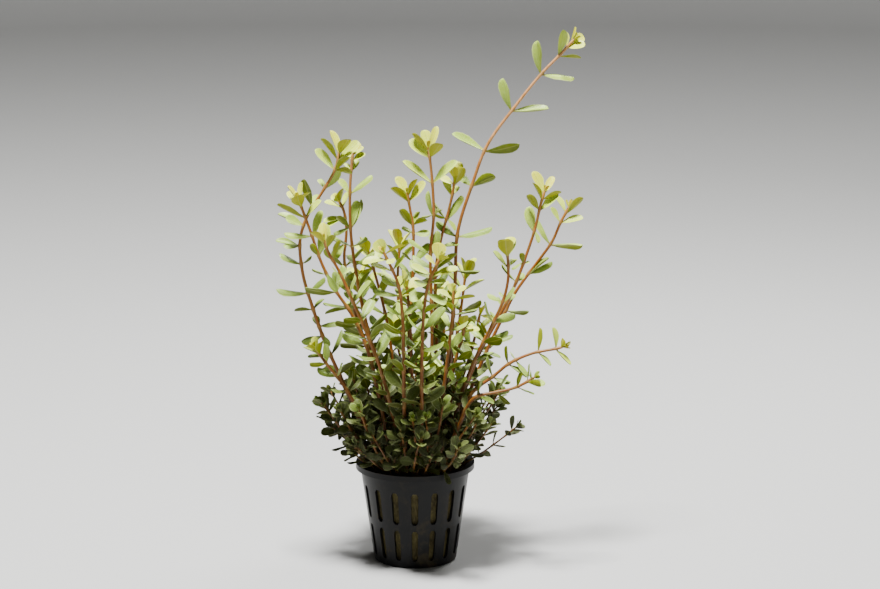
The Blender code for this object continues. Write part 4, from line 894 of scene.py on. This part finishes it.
def leafAgeAt(order, height):
    past = order - len(ageingAndShade["young"])
    age = ageingAndShade["young"][order] if past < 0 else min(ageingAndShade["most"], ageingAndShade["start"] + ageingAndShade["step"] * past)
    return withPaintedShade(age, height)


# What a leaf keeps clear of; checked lists the shares of its length and width at which it is looked at
lowCorner, highCorner = (np.array(corner) / mm for corner in cadBounds)
keepIn = {
    "margin": 0.4, "lipInner": 21.5, "lipOuter": 29.0, "lipTop": 46.0,
    "checked": ((0.5, 1.0), (0.8, 1.0), (1.0, 0.3)), "tries": 6, "shorter": 0.84, "narrower": 0.92,
}


def leafFits(root, tangent, leaf):
    # inside the object's box, and clear of the pot's lip
    matrix = np.array(leafMatrix(tangent, leaf))
    across, face = matrix[:, 0], matrix[:, 2]
    for share, widthShare in keepIn["checked"]:
        drop = leaf["bend"] * leaf["length"] * share**2
        middle = root + leaf["axis"] * leaf["length"] * share - face * drop
        for side in (-0.5, 0.5):
            point = middle + across * leaf["width"] * side * widthShare
            if (point < lowCorner + keepIn["margin"]).any() or (point > highCorner - keepIn["margin"]).any():
                return False
            underLip = point[2] < keepIn["lipTop"]
            if underLip and keepIn["lipInner"] < math.hypot(point[0], point[1]) < keepIn["lipOuter"]:
                return False
    return True


def placeLeaf(growing, point, tangent, leaf, offset, age, draw):
    tone = draw.random()
    radial = unit(leaf["axis"] - tangent * (leaf["axis"] @ tangent))
    root = point + radial * offset
    for _ in range(keepIn["tries"]):
        if leafFits(root, tangent, leaf):
            growing.addLeaf(root, tangent, leaf, age, tone)
            return
        leaf = {**leaf, "length": leaf["length"] * keepIn["shorter"],
                "width": leaf["width"] * keepIn["narrower"]}


# The two tiny pairs round a bud: (below the tip, length, width, pitch) each
heart = {"pairs": ((0.8, 3.4, 2.0, 24), (0.2, 2.0, 1.1, 10)), "age": (0.045, 0.0), "bend": -0.12,
         "seat": 0.25, "strayTurn": 12, "strayPitch": 5, "straySize": (0.85, 1.1)}


def addHeart(growing, line, draw):
    for i, (below, length, width, pitch) in enumerate(heart["pairs"]):
        point, tangent, _, _ = line.at(line.length - below)
        for halfTurn in (0, 180):
            turn = 90 * (i + 1) + halfTurn + draw.uniform(-heart["strayTurn"], heart["strayTurn"])
            lift = pitch + draw.uniform(-heart["strayPitch"], heart["strayPitch"])
            leaf = {"axis": line.leafAxis(line.length - below, math.radians(turn), math.radians(lift)),
                    "length": length * draw.uniform(*heart["straySize"]), "width": width, "twist": 0.0,
                    "bend": heart["bend"]}
            # the heart's age, with painted shade added the lower it sits
            age = withPaintedShade(heart["age"][i], point[2] - growth["rim"])
            placeLeaf(growing, point, tangent, leaf, heart["seat"], age, draw)


def addShoot(growing, plan, line, draw):
    # the stem with its swollen joints, the leaf pairs and the bud
    pairs = leafPairs(plan, line)
    joints = np.array([place for _, place in pairs])
    count = max(stems["fewest"], int(line.length / stems["step"]))
    points, radii, ages, marks = [], [], [], []
    for i in range(count + 1):
        along = line.length * i / count
        away = np.abs(joints - along).min(initial=math.inf)
        near = math.exp(-(away / stems["swellingLength"]) ** 2)
        bud = smoothStep(0.0, stems["budTaper"], line.length - along)
        radius = between(plan["radii"], along / line.length) * (1 + stems["swelling"] * near)
        point = line.at(along)[0]
        points.append(point)
        radii.append(radius * between((stems["budEnd"], 1.0), bud))
        ages.append(clamp(1 - (point[2] - growth["rim"]) / stems["ageSpan"]))
        marks.append(near)
    growing.addLine(points, radii, ages, marks)
    lowest = max((order for order, _ in pairs), default=1)
    for order, place in pairs:
        point, tangent, _, _ = line.at(place)
        seeded = random.Random(f"{plan['name']} {order}")
        isSet = order in plan["leaves"]
        leaves = setLeaves(plan, order) if isSet else ruledLeaves(plan, line, order, place, lowest, seeded)
        # the leaf's age by order, with painted shade added the lower it sits
        age = leafAgeAt(order, point[2] - growth["rim"])
        for leaf in leaves:
            placeLeaf(growing, point, tangent, leaf, plan["radii"][0] * stems["leafSeat"], age, draw)
    addHeart(growing, line, draw)


fullLeaves = leafTemplates("fullLeaf", leafShape["rows"], leafShape["columns"])
smallLeaves = leafTemplates("smallLeaf", leafShape["smallRows"], leafShape["smallColumns"])
shootTree = growthTree()
plans = shoots + [lowShoot(turn, number) for number, turn in enumerate(lowShoots["turns"], 1)]
for plan in plans:
    growing = Growth()
    addShoot(growing, plan, StemLine(plan), random.Random(plan["name"]))
    title = "".join(word.capitalize() for word in plan["name"].split("_"))
    piece = growing.piece("leafy" + title, shootTree, fullLeaves)
    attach(piece, "root")
    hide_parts(plan["name"])
print(len(plans), "shoots grown")


# Undergrowth: the thin twigs that fill the crown between the shoots, each with small leaves
undergrowth = {
    "count": 110, "seed": 81, "startTurn": 0.7, "footReach": (0.0, 18.5), "lean": (2.0, 60.0),
    "leanCurve": 1.6, "leanShare": (0.7, 1), "length": (14.0, 56.0), "outerLength": (1.05, 0.7),
    "sideways": 0.25, "shares": (0.35, 0.7, 1.0), "outCurve": 0.9, "riseCurve": 1.0, "lift": 0.06,
    "rooted": 3.0, "bare": 4.0, "gap": (5.4, 8.2), "gaps": (2.2, 3.6), "blade": ((6.0, 10.0), (3.0, 4.5)),
    "radii": (0.55, 0.36), "sides": 6,
}


def addUndergrowth(growing):
    rule = undergrowth
    for number in range(rule["count"]):
        draw = random.Random(rule["seed"] + number)
        shareOut = math.sqrt((number + 0.5) / rule["count"])
        out = outward(number * lowShoots["golden"] + rule["startTurn"])
        foot = out * between(rule["footReach"], shareOut) + upward * growth["woolTop"]
        lean = between(rule["lean"], shareOut ** rule["leanCurve"] * draw.uniform(*rule["leanShare"]))
        length = draw.uniform(*rule["length"]) * between(rule["outerLength"], shareOut)
        sideways = np.array([-out[1], out[0], 0.0]) * draw.uniform(-rule["sideways"], rule["sideways"])
        plan = {"name": f"twig {number}", "gap": draw.uniform(*rule["gap"]), "gaps": rule["gaps"],
                "blade": [draw.uniform(*span) for span in rule["blade"]], "leaves": {},
                "radii": rule["radii"], "bare": rule["bare"], "phase": draw.uniform(0, 90),
                "route": archedRoute(rule, foot, out, length, math.radians(lean), sideways)}
        addShoot(growing, plan, StemLine(plan, rule["rooted"]), draw)


growing = Growth()
addUndergrowth(growing)
lowGreen = growing.piece("undergrowthTwigs", shootTree, smallLeaves, sides=undergrowth["sides"])
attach(lowGreen, "root")
print("undergrowth grown")


# Net pot, in millimetres: the CAD pot's sizes with finer rounds and rounded slot ends
pot = {
    "height": 45.0, "footRadius": 18.5, "neckRadius": 24.8, "wall": 1.1, "lipReach": 0.8, "lipDrop": 2.6,
    "slots": 16, "slotDegrees": 8.0, "tiers": ((3.5, 18.0), (21.0, 36.0)), "hub": 5.0, "floorSlotEnd": 15.5,
    "slotParts": 4, "ribParts": 4, "roundEnd": 1.3, "footRound": ((-0.5, 0.0), (0.05, 0.45)), "underLip": 3.0,
    "edge": 0.22, "edgeParts": 2, "edgeDegrees": 40,
}


def potRadius(height):
    neck = pot["height"] - pot["wall"]
    return between((pot["footRadius"], pot["neckRadius"]), min(height, neck) / neck)


def potTurns():
    # (degrees, in a slot, at a slot's corner) once round the pot
    pitch, half = 360 / pot["slots"], pot["slotDegrees"] / 2
    turns = []
    for slot in range(pot["slots"]):
        for start, width, parts, inSlot in ((-half, 2 * half, pot["slotParts"], True),
                                            (half, pitch - 2 * half, pot["ribParts"], False)):
            turns += [(slot * pitch + start + width * i / parts, inSlot, i == 0) for i in range(parts)]
    return turns


def potProfile():
    # (radius, height, way that a slot's end is rounded, slotted above) from the hub out and up to the lip
    neck, lip = pot["height"] - pot["wall"], pot["neckRadius"] + pot["lipReach"]
    rows = [(pot["hub"], 0.0, 0, True), (pot["floorSlotEnd"], 0.0, 0, False)]
    rows += [(pot["footRadius"] + out, height, 0, False) for out, height in pot["footRound"]]
    for low, high in pot["tiers"]:
        rows += [(None, low, 1, True), (None, (low + high) / 2, 0, True), (None, high, -1, False)]
    rows += [(None, neck - pot["underLip"], 0, False), (None, neck, 0, False)]
    return rows + [(lip, neck, 0, False), (lip, pot["height"] - pot["lipDrop"], 0, False)]


def netPot():
    # one skin from the underside up to the lip, less the slots, then walled and bevelled
    turns, profile = potTurns(), potProfile()
    shape = bmesh.new()
    rings = []
    for radius, height, end, _ in profile:
        ring = []
        for degrees, _, corner in turns:
            # the corners of a slot's end are drawn in, which rounds it
            z = height + end * pot["roundEnd"] if corner else height
            across = outward(math.radians(degrees)) * (potRadius(z) if radius is None else radius)
            ring.append(shape.verts.new((across + upward * z) * mm))
        rings.append(ring)
    shape.faces.new(tuple(reversed(rings[0])))
    skinRings(shape, rings, lambda row, place: profile[row][3] and turns[place][1])
    loose = [vertex for vertex in shape.verts if not vertex.link_faces]
    bmesh.ops.delete(shape, geom=loose, context="VERTS")
    mesh = meshOf("netPot", shape)
    mesh.shade_smooth()
    mesh.materials.append(potFinish)
    piece = addObject("netPot", mesh)
    wall = piece.modifiers.new("wall", "SOLIDIFY")
    wall.thickness, wall.offset, wall.use_even_offset = pot["wall"] * mm, -1.0, True
    edge = piece.modifiers.new("edge", "BEVEL")
    edge.width, edge.segments = pot["edge"] * mm, pot["edgeParts"]
    edge.limit_method, edge.angle_limit = "ANGLE", math.radians(pot["edgeDegrees"])
    edge.harden_normals = True
    return piece


potPiece = netPot()
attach(potPiece, "root")
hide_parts("pot")
print("pot made")


# Mineral wool plug: a tapered felt block with loose fibres on its top and sides
wool = {"top": 42.0, "low": 1.4, "inset": 1.6, "around": 96, "rows": 14, "topRings": 12, "floorRings": 4,
        "rough": 0.45, "topRough": 1.4, "least": 0.3, "seed": 5, "fibreDensity": 260000.0, "fibreLength": 2.6,
        "fibreRadius": 0.045, "fibreEnd": 0.35, "fibreSides": 3, "fibreTilt": 0.5,
        "fibreWay": ((-0.5, 0, 0), (-1 / 6, 0.1, 0.05), (0.2, 0, 0.12), (0.5, -0.12, 0))}


def woolRadius(height):
    return potRadius(height) - wool["inset"]


def woolPlug():
    rule = wool
    draw = random.Random(rule["seed"])
    low, top = rule["low"], rule["top"]
    rows = [(woolRadius(low) * k / rule["floorRings"], low) for k in range(1, rule["floorRings"])]
    rows += [(woolRadius(z), z) for z in np.linspace(low, top, rule["rows"])]
    rows += [(woolRadius(top) * (1 - k / rule["topRings"]), top) for k in range(1, rule["topRings"])]
    shape = bmesh.new()
    rings = []
    for i, (radius, height) in enumerate(rows):
        ring = []
        for k in range(rule["around"]):
            r = max(rule["least"], radius - draw.uniform(0, rule["rough"]))
            onTop = i >= len(rows) - rule["topRings"]
            down = draw.uniform(0, rule["rough"]) * (rule["topRough"] if onTop else 0)
            turn = 2 * math.pi * k / rule["around"]
            ring.append(shape.verts.new((outward(turn) * r + upward * (height - down)) * mm))
        rings.append(ring)
    skinRings(shape, rings)
    for face in shape.faces:
        face.smooth = True
    shape.faces.new(tuple(reversed(rings[0])))
    shape.faces.new(tuple(rings[-1]))
    mesh = meshOf("woolPlug", shape)
    mesh.materials.append(woolFinish)
    return addObject("woolPlug", mesh)


def fibreTree():
    # short bent threads strewn over a surface
    tree, given = newTree("strewFibres", {
        "Density": "Float", "Seed": "Int", "Fibre": "Object", "Finish": "Material"})
    strew = addNode(tree, "GeometryNodeDistributePointsOnFaces", {
        "Mesh": given["Geometry"], "Density": given["Density"], "Seed": given["Seed"]}).outputs
    fibre = outputOf(tree, "Geometry", "GeometryNodeObjectInfo", {"Object": given["Fibre"]})
    lie = addNode(tree, "FunctionNodeRandomValue", {"Seed": given["Seed"]}, data_type="FLOAT_VECTOR")
    least, most = [socket for socket in lie.inputs if socket.type == "VECTOR"]
    tilt = wool["fibreTilt"]
    least.default_value, most.default_value = (-tilt, -tilt, 0.0), (tilt, tilt, 2 * math.pi)
    drawn = next(socket for socket in lie.outputs if socket.type == "VECTOR")
    spin = outputOf(tree, "Rotation", "FunctionNodeEulerToRotation", {"Euler": drawn})
    turned = outputOf(tree, "Rotation", "FunctionNodeRotateRotation", {
        "Rotation": strew["Rotation"], "Rotate By": spin}, rotation_space="LOCAL")
    put = outputOf(tree, "Instances", "GeometryNodeInstanceOnPoints", {
        "Points": strew["Points"], "Instance": fibre, "Rotation": turned})
    real = outputOf(tree, "Geometry", "GeometryNodeRealizeInstances", {"Geometry": put})
    dyed = outputOf(tree, "Geometry", "GeometryNodeSetMaterial", {
        "Geometry": real, "Material": given["Finish"]})
    addNode(tree, "NodeGroupOutput", {"Geometry": dyed})
    return tree


def fibreShape():
    # a closed thread along a few points, thinner at both ends
    way, sides = wool["fibreWay"], wool["fibreSides"]
    around = [2 * math.pi * k / sides for k in range(sides)]
    shape = bmesh.new()
    rings = []
    for i, point in enumerate(way):
        size = wool["fibreRadius"] * mm * (wool["fibreEnd"] if i in (0, len(way) - 1) else 1.0)
        x, y, z = (c * wool["fibreLength"] * mm for c in point)
        ring = [(x, y + size * math.cos(turn), z + size * math.sin(turn)) for turn in around]
        rings.append([shape.verts.new(place) for place in ring])
    skinRings(shape, rings)
    shape.faces.new(tuple(reversed(rings[0])))
    shape.faces.new(tuple(rings[-1]))
    bmesh.ops.recalc_face_normals(shape, faces=shape.faces)
    return bpy.data.objects.new("strand", meshOf("strand", shape))


plug, strand = woolPlug(), fibreShape()
fibres = evaluateTree("woolFibres", plug.data.copy(), fibreTree(), {
    "Density": wool["fibreDensity"], "Seed": wool["seed"], "Fibre": strand, "Finish": woolFinish})
for piece in (plug, fibres):
    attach(piece, "root")
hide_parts("wool")
print("wool made")


# Fine roots: from the lower joints down into the wool, and over its top
roots = {
    "wander": 1.3, "crowd": (0.75, 1.0), "outerHeight": 0.35, "spread": 0.35, "depth": 1.0, "strayFoot": 2,
    "lipClear": 1.0, "pullIn": 0.85, "step": 2.5, "fewest": 4, "sides": 5,
    "kinds": (
        {"seed": 33000, "count": 340, "reach": (0.0, 20.0), "height": (6.0, 33.0), "radius": (0.12, 0.3)},
        {"seed": 34000, "count": 100, "reach": (12.5, 20.0), "height": (16.0, 42.0), "radius": (0.26, 0.48)},
    ),
}


def addRoots(growing, kind):
    rule = roots
    for number in range(kind["count"]):
        draw = random.Random(kind["seed"] + number)
        out = outward(number * lowShoots["golden"])
        shareOut = math.sqrt((number + 0.5) / kind["count"]) * draw.uniform(*rule["crowd"])
        fromAxis = between(kind["reach"], shareOut)
        height = draw.uniform(*kind["height"]) * (1 - rule["outerHeight"] * fromAxis / kind["reach"][1])
        spread = 1 + rule["spread"] * height / kind["height"][1]
        top = out * fromAxis * spread + upward * (growth["woolTop"] + height)
        bottom = out * fromAxis + upward * (growth["woolTop"] - rule["depth"])
        bottom[:2] += [draw.uniform(-rule["strayFoot"], rule["strayFoot"]) for _ in range(2)]
        if math.hypot(bottom[0], bottom[1]) > keepIn["lipInner"] - rule["lipClear"]:
            bottom[:2] *= rule["pullIn"]
        radius = draw.uniform(*kind["radius"])
        steps = max(rule["fewest"], int(height / rule["step"]))
        points, radii = [], []
        for share in (i / steps for i in range(steps + 1)):
            point = top + (bottom - top) * share
            sway = math.sin(math.pi * share) * rule["wander"]
            point[:2] += [sway * draw.uniform(-1, 1) for _ in range(2)]
            points.append(point)
            radii.append(radius * fullBody(share))
        growing.addLine(points, radii, [1.0] * len(points), [0.0] * len(points))


growing = Growth()
for kind in roots["kinds"]:
    addRoots(growing, kind)
rootPiece = growing.piece("fineRoots", shootTree, smallLeaves, sides=roots["sides"], stemFinish=rootFinish)
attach(rootPiece, "root")
print("roots made")

for shape in [*fullLeaves.objects, *smallLeaves.objects, strand]:
    bpy.data.objects.remove(shape)


# Stage: a pale floor, soft studio light from above and in front, and the camera at the photograph's height
stage = {
    "radius": 2.2, "curve": 0.5, "curveParts": 12, "rise": 1.6, "parts": 72, "colour": (0.4, 0.4, 0.39),
    "aim": (0.0, 0.0, 0.12), "world": 0.03, "worldColour": (1.0, 0.97, 0.92),
    "lights": (
        {"name": "keyLight", "size": 0.3, "power": 100.0, "place": (-0.15, -0.25, 1.5)},
        {"name": "fillLight", "size": 1.0, "power": 1.0, "place": (0.5, -1.1, 0.45)},
        {"name": "rimLight", "size": 0.3, "power": 4.0, "place": (0.3, 0.4, 0.6)},
    ),
}
view = {
    "elevation": 12.0, "distance": 1.2, "sensor": 36.0, "pixels": 880, "pixelSize": 0.4, "share": 0.9,
    "centre": (0.0112, 0.0, 0.1215),
}


def sweepFloor():
    # the floor curves up into a wall all round, so that every view has it behind the plant
    flat, curve = stage["radius"], stage["curve"]
    bends = [math.pi / 2 * i / stage["curveParts"] for i in range(stage["curveParts"] + 1)]
    profile = [(flat + curve * math.sin(bend), curve * (1 - math.cos(bend))) for bend in bends]
    profile.append((flat + curve, stage["rise"]))
    sides = [outward(2 * math.pi * i / stage["parts"]) for i in range(stage["parts"])]
    shape = bmesh.new()
    rings = [[shape.verts.new(side * r + upward * z) for side in sides] for r, z in profile]
    shape.faces.new(tuple(rings[0]))
    skinRings(shape, [ring[::-1] for ring in rings])
    mesh = meshOf("studioFloor", shape)
    mesh.shade_smooth()
    material, tree, shader = newMaterial("palePaper", 0.85, 0.2)
    fillInputs(tree, shader, {"Base Color": stage["colour"]})
    mesh.materials.append(material)
    addObject("studioFloor", mesh)


def faceFrom(thing, place, way):
    thing.location = place
    thing.rotation_mode = "QUATERNION"
    thing.rotation_quaternion = way.to_track_quat("-Z", "Y")


def addLight(rule):
    light = bpy.data.lights.new(rule["name"], "AREA")
    light.energy, light.size, light.shape = rule["power"], rule["size"], "DISK"
    faceFrom(addObject(rule["name"], light), rule["place"], Vector(stage["aim"]) - Vector(rule["place"]))


def addCamera():
    camera = addObject("camera", bpy.data.cameras.new("camera"))
    up = math.radians(view["elevation"])
    back = Vector((0.0, -math.cos(up), math.sin(up)))
    faceFrom(camera, Vector(view["centre"]) + back * view["distance"], -back)
    camera.data.sensor_width = view["sensor"]
    seen = view["pixels"] * view["pixelSize"] * mm / view["share"]      # width of the picture at the plant
    camera.data.lens = view["sensor"] * view["distance"] / seen
    bpy.context.scene.camera = camera


sweepFloor()
for rule in stage["lights"]:
    addLight(rule)
world = bpy.data.worlds.new("studio")
world.use_nodes = True
background = world.node_tree.nodes["Background"]
fillInputs(world.node_tree, background, {"Color": stage["worldColour"], "Strength": stage["world"]})
bpy.context.scene.world = world
addCamera()
print("stage set")
